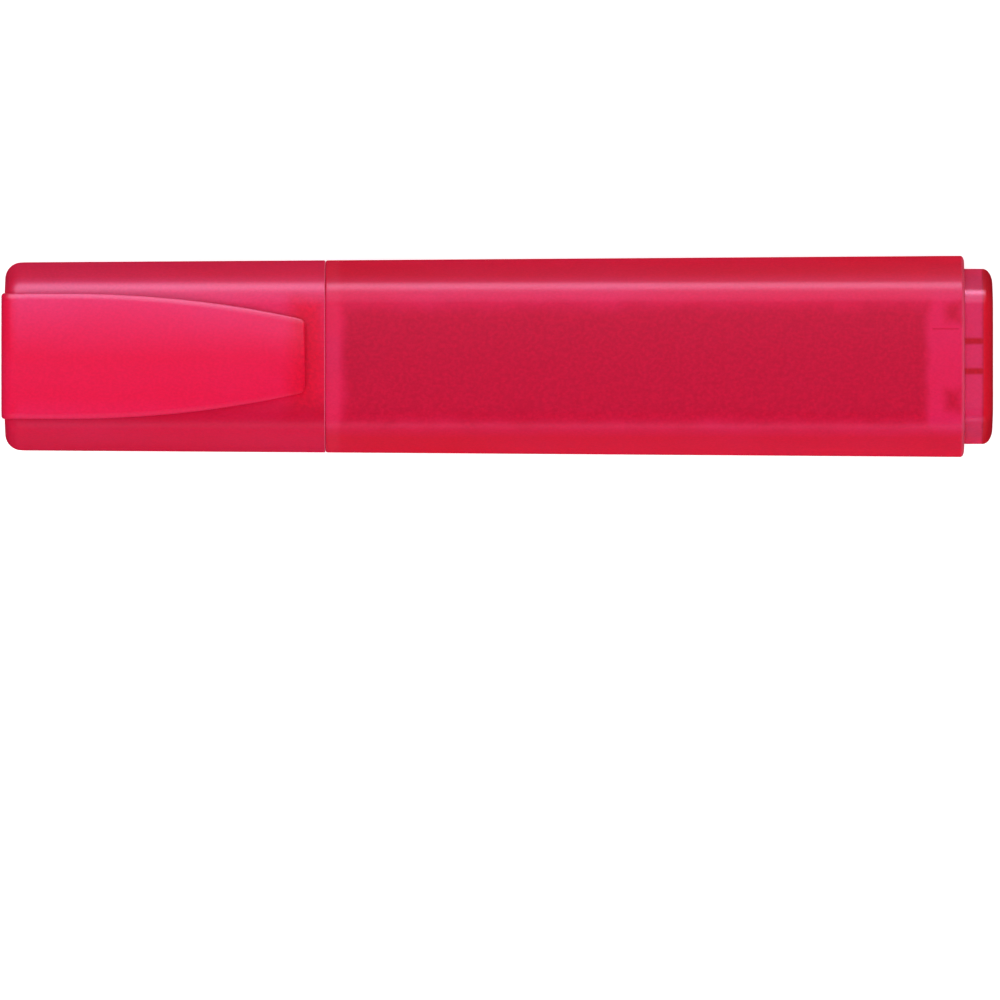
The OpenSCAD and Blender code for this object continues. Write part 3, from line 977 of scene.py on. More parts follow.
@dataclass
class Barrel:
    """The frosted shell with its horn, and the ribs inside it."""

    pen: PenSizes
    ridge_r: float = 3.8 * MM
    horn_ridge_r: float = 4.2 * MM
    crown: float = 0.2 * MM
    edge_r: float = 0.25 * MM
    rear_dip: float = 0.9 * MM
    rear_run: float = 0.45 * MM
    seam: float = 0.02 * MM
    wall: float = 1.25 * MM
    rim_wall: float = 0.95 * MM
    horn_wall: float = 0.9 * MM
    horn_entry: float = math.radians(7.6)
    horn_rise: tuple[float, float, float, float] = (1.5, 1.4, 1.0, 2.0)
    collar_step: float = 0.06 * MM
    bore_d: float = 6.86 * MM
    spigot_len: float = 5.0 * MM
    rib_t: float = 0.7 * MM
    reservoir_fit: float = 0.2 * MM
    stations: int = 28

    def horn_at(self, s: float) -> Section:
        """The horn's section, whose sides follow circular arcs along the pen.

        Args:
            s: distance behind the nib holder.

        Returns:
            The section there.
        """
        base = self.pen.spigot()
        r0 = self.pen.collar_d / 2 + self.collar_step
        length = self.pen.horn_len
        leave = 2 * math.atan((base.half_w - r0) / length) - self.horn_entry
        r = length / (math.sin(leave) - math.sin(self.horn_entry))
        slope = math.asin(min(1.0, math.sin(self.horn_entry) + s / r))
        share = s / length
        thick, face, side, bevel = (share**k for k in self.horn_rise)
        sliver = 0.05 * MM
        return Section(
            r0 + r * (math.cos(self.horn_entry) - math.cos(slope)),
            r0 + (base.half_t - r0) * thick,
            max(sliver, base.half_face * face),
            max(sliver, base.half_side * side),
            r0 + (base.bevel_r - r0) * bevel,
        )

    def outer_rings(self) -> list[Ring]:
        """Rows of the outside, from the horn's front to the rear rim.

        Returns:
            The rows, in slot 0.
        """
        pen, rings = self.pen, []
        for s in spread(0, pen.horn_len, self.stations):
            share = s / pen.horn_len
            corner = 1.6 * MM + (self.horn_ridge_r - 1.6 * MM) * share
            rings.append(pen.ring(pen.x_horn + s, self.horn_at(s), corner, self.crown * share))
        front, rear = pen.barrel_at(pen.x_shoulder), pen.barrel_at(pen.x_rear)
        x_meet = pen.x_mouth + self.seam
        rings.append(self.edge_ring(x_meet, front, self.edge_r * 1.25, 0.0))
        for a in spread(0, math.pi / 2, 6):
            depth, run = self.edge_r * (1 - math.sin(a)), self.edge_r * (1 - math.cos(a))
            rings.append(self.edge_ring(x_meet, front, depth, run))
        for x in spread(pen.x_shoulder + 2 * self.edge_r, pen.x_rear - 2 * self.rear_run, 12):
            rings.append(pen.ring(x, pen.barrel_at(x), self.ridge_r, self.crown))
        for a in spread(math.pi / 2, 0, 8):
            depth, run = self.rear_dip * (1 - math.sin(a)), self.rear_run * (1 - math.cos(a))
            rings.append(self.edge_ring(pen.x_rear, rear, depth, -run))
        return rings

    def edge_ring(self, x: float, section: Section, depth: float, run: float) -> Ring:
        """A row of a rounded end edge: depth inside the section and run along from x."""
        inner = section.inset(depth) if depth > 1e-9 else section
        return self.pen.ring(x + run, inner, max(0.3 * MM, self.ridge_r - depth), self.crown)

    def inner_rings(self) -> list[Ring]:
        """Rows of the hollow, from the rear rim back to the horn's front.

        Returns:
            The rows, in slot 1.
        """
        pen = self.pen
        rear = pen.barrel_at(pen.x_rear)
        bore, body = rear.inset(self.rim_wall), rear.inset(self.wall)
        x_front = pen.x_shoulder + self.wall
        corner = 0.25 * MM
        rings = [
            pen.ring(pen.x_rear, bore, corner, slot=1),
            pen.ring(pen.x_skirt, bore, corner, slot=1),
            pen.ring(pen.x_skirt, body, corner, slot=1),
            pen.ring(x_front, pen.barrel_at(x_front).inset(self.wall), corner, slot=1),
        ]
        for s in spread(pen.horn_len, self.spigot_len, self.stations // 2):
            rings.append(pen.ring(pen.x_horn + s, self.horn_at(s).inset(self.horn_wall), corner, slot=1))
        bore = Section.disc(self.bore_d / 2)
        rings.append(pen.ring(pen.x_horn + self.spigot_len, bore, corner, slot=1))
        rings.append(pen.ring(pen.x_horn, bore, corner, slot=0))
        return rings

    def add_ribs(self, skin: Skin) -> None:
        """Adds the two stop ribs in the horn and the two side ribs along the barrel.

        Args:
            skin: the barrel's mesh, which takes them in slot 2.
        """
        pen = self.pen
        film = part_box("reservoir_film")
        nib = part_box("nib")
        start = pen.horn_len * 0.55
        for up in (-1, 1):
            low = (nib[1].z - nib[0].z) / 2 + 0.6 * MM
            outline = [(pen.x_horn + start, low)]
            for s in spread(start, pen.horn_len, 8):
                outline.append((pen.x_horn + s, self.horn_at(s).half_t - self.horn_wall / 2))
            top = pen.body_t / 2 - self.wall / 2
            outline += [(pen.x_shoulder + self.wall, top), (film[0].x, top), (film[0].x, low)]
            plate = [(x, pen.axis_z + up * z) for x, z in outline]
            skin.prism(plate, -self.rib_t / 2, self.rib_t / 2, slot=2)
            near = film[1].y + self.reservoir_fit
            x_end = pen.x_skirt - 2 * MM
            far = pen.barrel_at(film[0].x).half_w - self.wall / 2
            corners = sorted((up * near, up * far))
            skin.block(
                Vector((film[0].x, corners[0], pen.axis_z - self.rib_t / 2)),
                Vector((x_end, corners[1], pen.axis_z + self.rib_t / 2)),
                slot=2,
            )

    def build(self, frosted: MouldedPlastic, inside: MouldedPlastic) -> None:
        """Builds the shell and dresses it.

        Args:
            frosted: finish of the outside.
            inside: finish of the hollow's walls and ribs.
        """
        skin = Skin("barrel_shell")
        skin.loft(self.outer_rings() + self.inner_rings(), loop=True)
        self.add_ribs(skin)
        hollow = inside.make()
        shell = skin.finish([frosted.make(), hollow, hollow])
        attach(shell, "pen")
        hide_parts("barrel")
        LOG.info("%s: %d faces", shell.name, len(shell.data.polygons))


@dataclass
class NibUnit:
    """The clear holder at the front of the horn and the slanted fibre nib in it."""

    pen: PenSizes
    lip_r: float = 0.9 * MM
    spigot_step: float = 0.6 * MM
    slot_fit: float = 0.03 * MM
    slant: float = math.radians(18.4)
    edge_t: float = 0.9 * MM
    wedge_len: float = 3.6 * MM
    dip: float = 5.0 * MM
    soft_r: float = 0.16 * MM
    corner_r: float = 0.35 * MM
    tail_share: float = 0.45
    segments: int = 96

    def round_row(self, x: float, r: float) -> list[Vector]:
        """A circle of the holder about the pen's axis.

        Args:
            x: where along the pen.
            r: radius.

        Returns:
            Its points, from +Y towards +Z.
        """
        z = self.pen.axis_z
        turns = [2 * math.pi * i / self.segments for i in range(self.segments)]
        return [Vector((x, r * math.cos(a), z + r * math.sin(a))) for a in turns]

    def slot_row(self, x: float, grow: float) -> list[Vector]:
        """The slot's rectangle at x, as many points as a circle, each on the same ray.

        Args:
            x: where along the pen.
            grow: how much wider than the slot, all round.

        Returns:
            Its points.
        """
        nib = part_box("nib")
        half_y = nib[1].y + self.slot_fit + grow
        half_z = (nib[1].z - nib[0].z) / 2 + self.slot_fit + grow
        points = []
        for i in range(self.segments):
            a = 2 * math.pi * i / self.segments
            cy, cz = math.cos(a), math.sin(a)
            reach = 1 / max(abs(cy) / half_y, abs(cz) / half_z)
            points.append(Vector((x, reach * cy, self.pen.axis_z + reach * cz)))
        return points

    def build_holder(self, clear: MouldedPlastic, inside: MouldedPlastic) -> None:
        """Builds the holder: a rounded lip, the polished ring, the spigot and the slot through it.

        Args:
            clear: finish of the lip and the ring.
            inside: finish of the spigot and the slot.
        """
        pen = self.pen
        r, x0, x1 = pen.collar_d / 2, pen.x_collar, pen.x_horn
        x_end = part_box("nib_holder")[1].x
        rows = [Ring(self.slot_row(x0 + 0.25 * MM, 0.0)), Ring(self.slot_row(x0, 0.25 * MM))]
        for a in spread(0, math.pi / 2, 8):
            run, depth = self.lip_r * (1 - math.cos(a)), self.lip_r * (1 - math.sin(a))
            rows.append(Ring(self.round_row(x0 + run, r - depth)))
        rows.append(Ring(self.round_row(x1 - 0.06 * MM, r)))
        rows.append(Ring(self.round_row(x1, r - 0.05 * MM), 1))
        rows.append(Ring(self.round_row(x1, r - self.spigot_step), 1))
        rows.append(Ring(self.round_row(x_end, r - self.spigot_step), 1))
        rows.append(Ring(self.slot_row(x_end, 0.0), 1))
        skin = Skin("nib_seat")
        skin.loft(rows, loop=True)
        seat = skin.finish([clear.make(), inside.make()])
        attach(seat, "pen")
        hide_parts("nib_holder")
        LOG.info("%s: %d faces", seat.name, len(seat.data.polygons))

    def nib_row(self, ends: Point2, run: float, width: float, thick: float) -> Ring:
        """A rounded rectangle across the nib.

        Args:
            ends: X of the nib's front at its long and at its short side.
            run: distance behind the front.
            width: half the width of the row.
            thick: half its thickness.

        Returns:
            The row.
        """
        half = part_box("nib")[1].y
        corner = min(self.corner_r, thick * 0.6)
        points = []
        for sy, sz in ((1, 1), (1, -1), (-1, -1), (-1, 1)):
            for a in spread(0, math.pi / 2, 4):
                turn = a if sy * sz < 0 else math.pi / 2 - a
                y = sy * (width - corner + corner * math.cos(turn))
                dz = sz * (thick - corner + corner * math.sin(turn))
                share = (half - y) / (2 * half)
                points.append(Vector((ends[0] + (ends[1] - ends[0]) * share + run, y, self.pen.axis_z + dz)))
        return Ring(points)

    def build_nib(self, fibre: InkedFibre) -> None:
        """Builds the nib: a slanted wedge with softened edges and a tapered tail.

        Args:
            fibre: finish of the nib.
        """
        low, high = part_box("nib")
        half, thick = high.y, (high.z - low.z) / 2
        slant = 2 * half * math.tan(self.slant)
        tip, length = self.edge_t / 2, high.x - low.x
        skin = Skin("chisel_nib")
        rings = []
        for k in (0.0, 0.12, 0.3, 0.6, 1.0):
            flat = tip + (thick - tip) * k
            width = half - self.soft_r * (1 - min(1.0, k / 0.3)) ** 2
            rings.append(self.nib_row((low.x, low.x + slant), k * self.wedge_len, width, flat))
        for run, width in ((length - self.dip / 2, half), (length, half * self.tail_share)):
            rings.append(self.nib_row((low.x, low.x), run, width, thick))
        skin.loft(rings)
        nib = skin.finish([fibre.make()])
        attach(nib, "pen")
        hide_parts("nib")
        LOG.info("%s: %d faces", nib.name, len(nib.data.polygons))


@dataclass
class EndPlug:
    """The plug that closes the barrel: boss, skirt, inner ribs and snap lugs."""

    pen: PenSizes
    ridge_r: float = 2.4 * MM
    edge_r: float = 1.2 * MM
    edge_dip: float = 2.0 * MM
    vent_y: float = 3.3 * MM
    end_t: float = 1.15 * MM
    skirt_wall: float = 0.9 * MM
    rim_wall: float = 0.95 * MM
    fit: float = 0.03 * MM
    sink: float = 0.3 * MM
    rib_pitch: float = 3.65 * MM
    rib_t: float = 0.6 * MM
    lug: Vector = field(default_factory=lambda: Vector((1.2, 2.2, 0.18)) * MM)
    lug_pitch: float = 10.6 * MM
    lug_in: float = 1.3 * MM

    def build(self, plastic: MouldedPlastic, inside: MouldedPlastic, solid: MouldedPlastic) -> None:
        """Builds the plug's shell, its two ribs and its four lugs.

        Args:
            plastic: finish of the thin walls.
            inside: finish of the hollow's walls.
            solid: finish where the plastic is thick: end wall, ribs and lugs.
        """
        pen = self.pen
        boss = pen.spigot()
        skirt = pen.barrel_at(pen.x_rear).inset(self.rim_wall + self.fit)
        x_step, x_floor = pen.x_rear - self.sink, pen.x_plug_end - self.end_t
        hollow, bore = boss.inset(self.skirt_wall), skirt.inset(self.skirt_wall)
        corner = 0.25 * MM
        rings = [
            pen.ring(x_floor, hollow.inset(0.5 * MM), corner, slot=1),
            pen.ring(x_floor, hollow, corner, slot=1),
            pen.ring(x_step, hollow, corner, slot=1),
            pen.ring(x_step - self.skirt_wall, bore, corner, slot=1),
            pen.ring(pen.x_skirt, bore, corner),
            pen.ring(pen.x_skirt, skirt, corner),
            pen.ring(x_step, skirt, corner),
            pen.ring(x_step, boss, self.ridge_r),
        ]
        for a in spread(math.pi / 2, 0, 12):
            depth, run = self.edge_dip * (1 - math.sin(a)), self.edge_r * (1 - math.cos(a))
            section = boss.inset(depth) if depth > 1e-9 else boss
            corner = max(0.2 * MM, self.ridge_r - 0.6 * depth)
            rings.append(pen.ring(pen.x_plug_end - run, section, corner, slot=2))
        rings.append(pen.ring(pen.x_plug_end, boss.inset(self.edge_dip * 1.15), 0.2 * MM, slot=2))
        skin = Skin("rear_plug")
        skin.loft(rings)
        thick = solid.make()
        plug = skin.finish([plastic.make(), inside.make(), thick])
        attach(plug, "pen")
        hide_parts("end_plug")
        rib_h = 2 * (boss.half_t - 0.5 * self.skirt_wall)
        rib = Vector((x_floor - pen.x_skirt - 0.3 * MM, self.rib_t, rib_h))
        middle = Vector((x_floor - rib.x / 2, centred(0, self.rib_pitch, 2), pen.axis_z))
        ribs = BlockGrid("rear_plug_ribs", middle, rib, 2, self.rib_pitch).make(thick)
        surface = 2 * (pen.body_t / 2 - self.rim_wall - self.fit + self.lug.z / 2)
        low = Vector((pen.x_rear - self.lug_in, centred(0, self.lug_pitch, 2), pen.axis_z - surface / 2))
        lugs = BlockGrid("rear_plug_lugs", low, self.lug, 2, self.lug_pitch, 2, surface).make(thick)
        for extra in (ribs, lugs):
            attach(extra, "pen")
            LOG.info("%s: %d faces", extra.name, len(extra.data.polygons))
        LOG.info("%s: %d faces", plug.name, len(plug.data.polygons))


@dataclass
class InkStore:
    """The inked wadding and the film round it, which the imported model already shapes."""

    def build(self, nodes: dict[str, bpy.types.Object], wadding: InkedFibre, film: MouldedPlastic) -> None:
        """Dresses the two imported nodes.

        Args:
            nodes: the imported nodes, by name.
            wadding: finish of the reservoir.
            film: finish of the film round it.
        """
        for name, finish in (("ink_reservoir", wadding), ("reservoir_film", film)):
            dress(nodes[name], finish.make())
            LOG.info("%s keeps its packed shape", name)


def dress(node: bpy.types.Object, material: bpy.types.Material) -> None:
    """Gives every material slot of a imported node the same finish.

    Args:
        node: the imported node.
        material: its finish.
    """
    if not node.material_slots:
        node.data.materials.append(material)
    for place in node.material_slots:
        place.material = material


@dataclass
class Cap:
    """The cap's shell with its clip in one moulding, and the inner cap."""

    pen: PenSizes
    ridge_r: float = 3.9 * MM
    crown: float = 0.2 * MM
    end_r: float = 2.0 * MM
    edge_r: float = 0.15 * MM
    end_t: float = 1.2 * MM
    clip_t: float = 1.5 * MM
    clip_tip_t: float = 1.1 * MM
    clip_gap: float = 0.65 * MM
    grip_r: float = 0.65 * MM
    grip_back: float = 2 * MM
    grip_gap: float = 0.15 * MM
    clip_tip_w: float = 8.8 * MM
    clip_straight: float = 8.0 * MM
    clip_edge: tuple[tuple[float, float, float], ...] = (
        (8.0, 30.0, 0.25 * MM),
        (30.0, 44.0, 0.62 * MM),
        (44.0, 90.0, 0.3 * MM),
    )
    clip_fold_r: float = 1.5 * MM
    clip_crown: float = 0.38 * MM

    def build_shell(self) -> Skin:
        """Builds the shell's skin, outside and inside.

        Returns:
            The skin, still open to the clip.
        """
        pen = self.pen
        rings = [pen.ring(pen.x_cap_end, self.end_section(self.end_r * 1.15), 0.3 * MM)]
        for a in spread(0, math.pi / 2, 12):
            depth, run = self.end_r * (1 - math.sin(a)), self.end_r * (1 - math.cos(a))
            corner = max(0.35 * MM, self.ridge_r - 0.8 * depth)
            crown = self.crown * (1 - depth / self.end_r)
            rings.append(pen.ring(pen.x_cap_end + run, self.end_section(depth), corner, crown))
        for x in spread(pen.x_cap_end + 1.2 * self.end_r, pen.x_mouth - 2 * self.edge_r, 8):
            rings.append(pen.ring(x, pen.cap_at(x), self.ridge_r, self.crown))
        mouth = pen.cap_at(pen.x_mouth)
        for a in spread(math.pi / 2, 0, 6):
            depth, run = self.edge_r * (1 - math.sin(a)), self.edge_r * (1 - math.cos(a))
            inner = mouth.inset(depth) if depth > 1e-9 else mouth
            rings.append(pen.ring(pen.x_mouth - run, inner, self.ridge_r - depth, self.crown))
        x_floor = pen.x_cap_end + self.end_t
        rings.append(pen.ring(pen.x_mouth, mouth.inset(pen.cap_wall), 0.25 * MM, slot=1))
        inner_r = self.end_r - pen.cap_wall
        floor = pen.cap_at(x_floor).inset(pen.cap_wall)
        for a in spread(math.pi / 2, 0, 5):
            depth, run = inner_r * (1 - math.sin(a)), inner_r * (1 - math.cos(a))
            rings.append(pen.ring(x_floor + run, floor.inset(depth), 0.25 * MM, slot=1))
        skin = Skin("cap_with_clip")
        skin.loft(rings)
        return skin

    def end_section(self, depth: float) -> Section:
        """The cap's section at its closed end, depth inside its outline."""
        whole = self.pen.cap_at(self.pen.x_cap_end)
        return whole.inset(depth) if depth > 1e-9 else whole

    def clip_width(self, x: float) -> float:
        """Half the clip's width: parallel, then drawn in by an arc.

        Args:
            x: where along the pen.

        Returns:
            Half the width there.
        """
        pen = self.pen
        x_arc = pen.x_cap_end + self.clip_straight
        run = pen.x_clip_tip - x_arc
        drop = pen.clip_half - self.clip_tip_w / 2
        r = (run * run + drop * drop) / (2 * drop)
        d = max(0.0, x - x_arc)
        return pen.clip_half - r + math.sqrt(r * r - d * d)

    def clip_heights(self, x: float) -> Point2:
        """The clip's underside and top.

        Args:
            x: where along the pen.

        Returns:
            The two heights above the surface that the pen lies on.
        """
        pen = self.pen
        u = max(0.0, (x - pen.x_clip) / (pen.x_clip_tip - pen.x_clip))
        tip_under = pen.body_t + self.clip_gap
        tip_top = tip_under + self.clip_tip_t
        top = pen.clip_top - (pen.clip_top - tip_top) * u * u
        root = pen.clip_top - self.clip_t
        under = root + (tip_under - root) * u
        return under, top

    def edge_steps(self) -> list[Point2]:
        """Steps (out, down) over the clip's long edge: an even bevel between two roundings.

        Returns:
            Distances (out, down) from where the flat top ends.
        """
        steps, out, down = [], 0.0, 0.0
        for first, last, length in self.clip_edge:
            for tilt in spread(first, last, 5)[1:]:
                out += length / 5 * math.cos(math.radians(tilt))
                down += length / 5 * math.sin(math.radians(tilt))
                steps.append((out, down))
        return steps

    def clip_ring(self, x: float, half: float, low: float, high: float) -> Ring:
        """One rounded rectangle across the clip, its top slightly crowned.

        Args:
            x: where along the pen.
            half: half the clip's width.
            low: height of its underside.
            high: height of its top.

        Returns:
            The row.
        """
        rim = high - self.clip_crown
        foot = min(0.25 * MM, (rim - low) * 0.3)
        bevel = self.edge_steps()
        fit = min(1.0, (rim - low) * 0.6 / bevel[-1][1])
        inner = half - bevel[-1][0]
        points = [(k * inner, high - self.clip_crown * k * k) for k in spread(-1, 1, 12)]
        right = [(inner + y, rim - z * fit) for y, z in bevel]
        right += [
            (half - foot + foot * math.cos(a), low + foot + foot * math.sin(a))
            for a in spread(0, -math.pi / 2, 5)
        ]
        points += right + [(-y, z) for y, z in right[::-1]]
        return Ring([Vector((x, y, z)) for y, z in points])

    def clip_rings(self) -> list[Ring]:
        """Rows of the clip from its root, folded over the cap's end, to its tip.

        Returns:
            The rows.
        """
        pen = self.pen
        x_out, fold = pen.x_cap_out, self.clip_fold_r
        low = pen.axis_z + 1.0 * MM
        rings = []
        for a in spread(0, math.pi / 2, 10):
            d, drop = fold * (1 - math.cos(a)), fold * (1 - math.sin(a))
            side = 0.3 * MM * max(0.0, 1 - d / (0.3 * MM)) ** 2
            rings.append(self.clip_ring(x_out + d, pen.clip_half - side, low + side, pen.clip_top - drop))
        x_in = pen.x_clip - 1.0 * MM
        sunk = pen.body_t - pen.cap_wall / 2
        rings.append(self.clip_ring(x_in - 0.2 * MM, pen.clip_half, low, pen.clip_top))
        rings.append(self.clip_ring(x_in, pen.clip_half, sunk, pen.clip_top))
        under = self.clip_heights(pen.x_clip)[0]
        for a in spread(0, math.pi / 2, 6):
            x = pen.x_clip - 0.8 * MM * (1 - math.sin(a))
            z_low = sunk if a == 0 else pen.body_t + (under - pen.body_t) * math.sin(a)
            rings.append(self.clip_ring(x, self.clip_width(x), z_low, pen.clip_top))
        for x in spread(pen.x_clip + 0.4 * MM, pen.x_clip_tip - 1.0 * MM, 22):
            rings.append(self.clip_ring(x, self.clip_width(x), *self.clip_heights(x)))
        corner, edge = 0.8 * MM, 0.3 * MM
        for share in (0.3, 0.5, 0.65, 0.78, 0.88, 0.95, 1.0):
            x = pen.x_clip_tip - corner * (1 - share)
            low_z, top_z = self.clip_heights(x)
            past = max(0.0, x - (pen.x_clip_tip - edge))
            turn = edge - math.sqrt(max(0.0, edge**2 - past**2))
            over = corner * share
            side = corner - math.sqrt(max(0.0, corner**2 - over**2))
            half = self.clip_width(x) - 0.6 * side
            rings.append(self.clip_ring(x, half, low_z + turn / 2, top_z - turn / 2))
        return rings

    def clip_ridge(self, skin: Skin) -> None:
        """Adds the rounded ridge across the underside of the clip's tip.

        Args:
            skin: an empty mesh that takes the ridge.
        """
        pen = self.pen
        r = self.grip_r
        x_mid, z_mid = pen.x_clip_tip - self.grip_back, pen.body_t + self.grip_gap + r
        turns = spread(math.pi, 2 * math.pi, 14)
        outline = [(x_mid + r * math.cos(a), z_mid + r * math.sin(a)) for a in turns]
        half = self.clip_tip_w / 2 - 0.8 * MM
        skin.prism(outline, -half, half)

    def build(self, frosted: MouldedPlastic, inside: MouldedPlastic) -> None:
        """Builds shell and clip and joins them into one moulding.

        Args:
            frosted: finish of the outside.
            inside: finish of the hollow.
        """
        finishes = [frosted.make(), inside.make()]
        shell = self.build_shell().finish(finishes)
        clip_skin = Skin("clip_blank")
        clip_skin.loft(self.clip_rings())
        clip = clip_skin.finish(finishes)
        ridge_skin = Skin("ridge_blank")
        self.clip_ridge(ridge_skin)
        ridge = ridge_skin.finish(finishes)
        for blank in (clip, ridge):
            join = shell.modifiers.new(blank.name, "BOOLEAN")
            join.operation = "UNION"
            join.solver = "MANIFOLD"
            join.object = blank
        settle(shell)
        shade(shell.data, Skin.SHARP)
        for blank in (clip, ridge):
            bpy.data.objects.remove(blank)
        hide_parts("cap_shell", "clip")
        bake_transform(shell)
        LOG.info("%s: %d faces", shell.name, len(shell.data.polygons))

    def dress_inner(self, nodes: dict[str, bpy.types.Object], clear: MouldedPlastic) -> None:
        """Dresses the inner cap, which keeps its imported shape."""
        dress(nodes["inner_cap"], clear.make())
        LOG.info("inner_cap keeps its packed shape")


# ---------------------------------------------------------------- studio


class Role(Enum):
    """What a lamp is there for."""

    FILL = "fill"
    SHEEN = "sheen"


@dataclass(frozen=True)
class Panel:
    """A rectangular soft lamp, tilted from straight above towards +Y."""

    name: str
    tilt: float
    distance: float
    size: Point2
    power: float
    role: Role


@dataclass
class Studio:
    """White floor, soft light and a distant camera straight above."""

    pen: PenSizes
    lamps: tuple[Panel, ...] = (
        Panel("top_panel", -8.0, 0.9, (0.9, 0.5), 4.2, Role.FILL),
        Panel("front_sheen", -72.0, 0.7, (1.0, 0.2), 2.3, Role.SHEEN),
        Panel("low_sheen", -106.0, 0.6, (0.9, 0.4), 0.4, Role.SHEEN),
        Panel("ridge_sheen", 74.0, 0.6, (0.9, 0.28), 19.0, Role.SHEEN),
        Panel("face_sheen", 33.0, 0.7, (0.9, 0.52), 8.5, Role.SHEEN),
    )
    view_w: float = 121.2 * MM
    distance: float = 3.0
    sensor: float = 36.0
    off_centre: Point2 = (0.3 * MM, -17.4 * MM)

    def build(self) -> None:
        """Makes the floor, the lights, the world and the camera."""
        self.floor()
        self.world()
        for lamp in self.lamps:
            self.panel(lamp)
        self.camera()

    def floor(self) -> None:
        """A wide flat sheet under the pen."""
        bm = bmesh.new()
        bmesh.ops.create_grid(bm, x_segments=2, y_segments=2, size=2.0)
        mesh = bpy.data.meshes.new("floor")
        bm.to_mesh(mesh)
        bm.free()
        mesh.materials.append(Paper().make())
        sheet = bpy.data.objects.new("floor", mesh)
        sheet.visible_glossy = sheet.visible_diffuse = sheet.visible_shadow = False
        bpy.context.scene.collection.objects.link(sheet)

    def world(self) -> None:
        """Even pale surroundings."""
        scene = bpy.context.scene
        scene.world = bpy.data.worlds.new("studio")
        scene.world.use_nodes = True
        background = scene.world.node_tree.nodes["Background"]
        background.inputs["Color"].default_value = (1.0, 1.0, 1.0, 1.0)
        background.inputs["Strength"].default_value = 0.56
        scene.world.cycles_visibility.glossy = False
        scene.view_settings.view_transform = "Standard"

    def panel(self, lamp: Panel) -> None:
        """A rectangular lamp that faces the pen.

        Args:
            lamp: its size, place and power.
        """
        light = bpy.data.lights.new(lamp.name, "AREA")
        light.shape = "RECTANGLE"
        light.size, light.size_y = lamp.size
        light.energy = lamp.power
        holder = bpy.data.objects.new(lamp.name, light)
        tilt = math.radians(lamp.tilt)
        turn = Vector((0, math.sin(tilt), math.cos(tilt)))
        holder.location = Vector((0, 0, self.pen.axis_z)) + turn * lamp.distance
        holder.rotation_euler = (-tilt, 0, 0)
        holder.visible_diffuse = lamp.role is not Role.SHEEN
        holder.visible_glossy = lamp.role is not Role.FILL
        holder.visible_camera = False
        bpy.context.scene.collection.objects.link(holder)

    def camera(self) -> None:
        """A long lens looking straight down."""
        lens = bpy.data.cameras.new("camera")
        lens.sensor_width = self.sensor
        lens.lens = self.sensor * self.distance / self.view_w
        lens.clip_start, lens.clip_end = 0.01, 10.0
        eye = bpy.data.objects.new("camera", lens)
        eye.location = (self.off_centre[0], self.off_centre[1], self.distance + self.pen.axis_z)
        bpy.context.scene.collection.objects.link(eye)
        bpy.context.scene.camera = eye


# ---------------------------------------------------------------- the pen


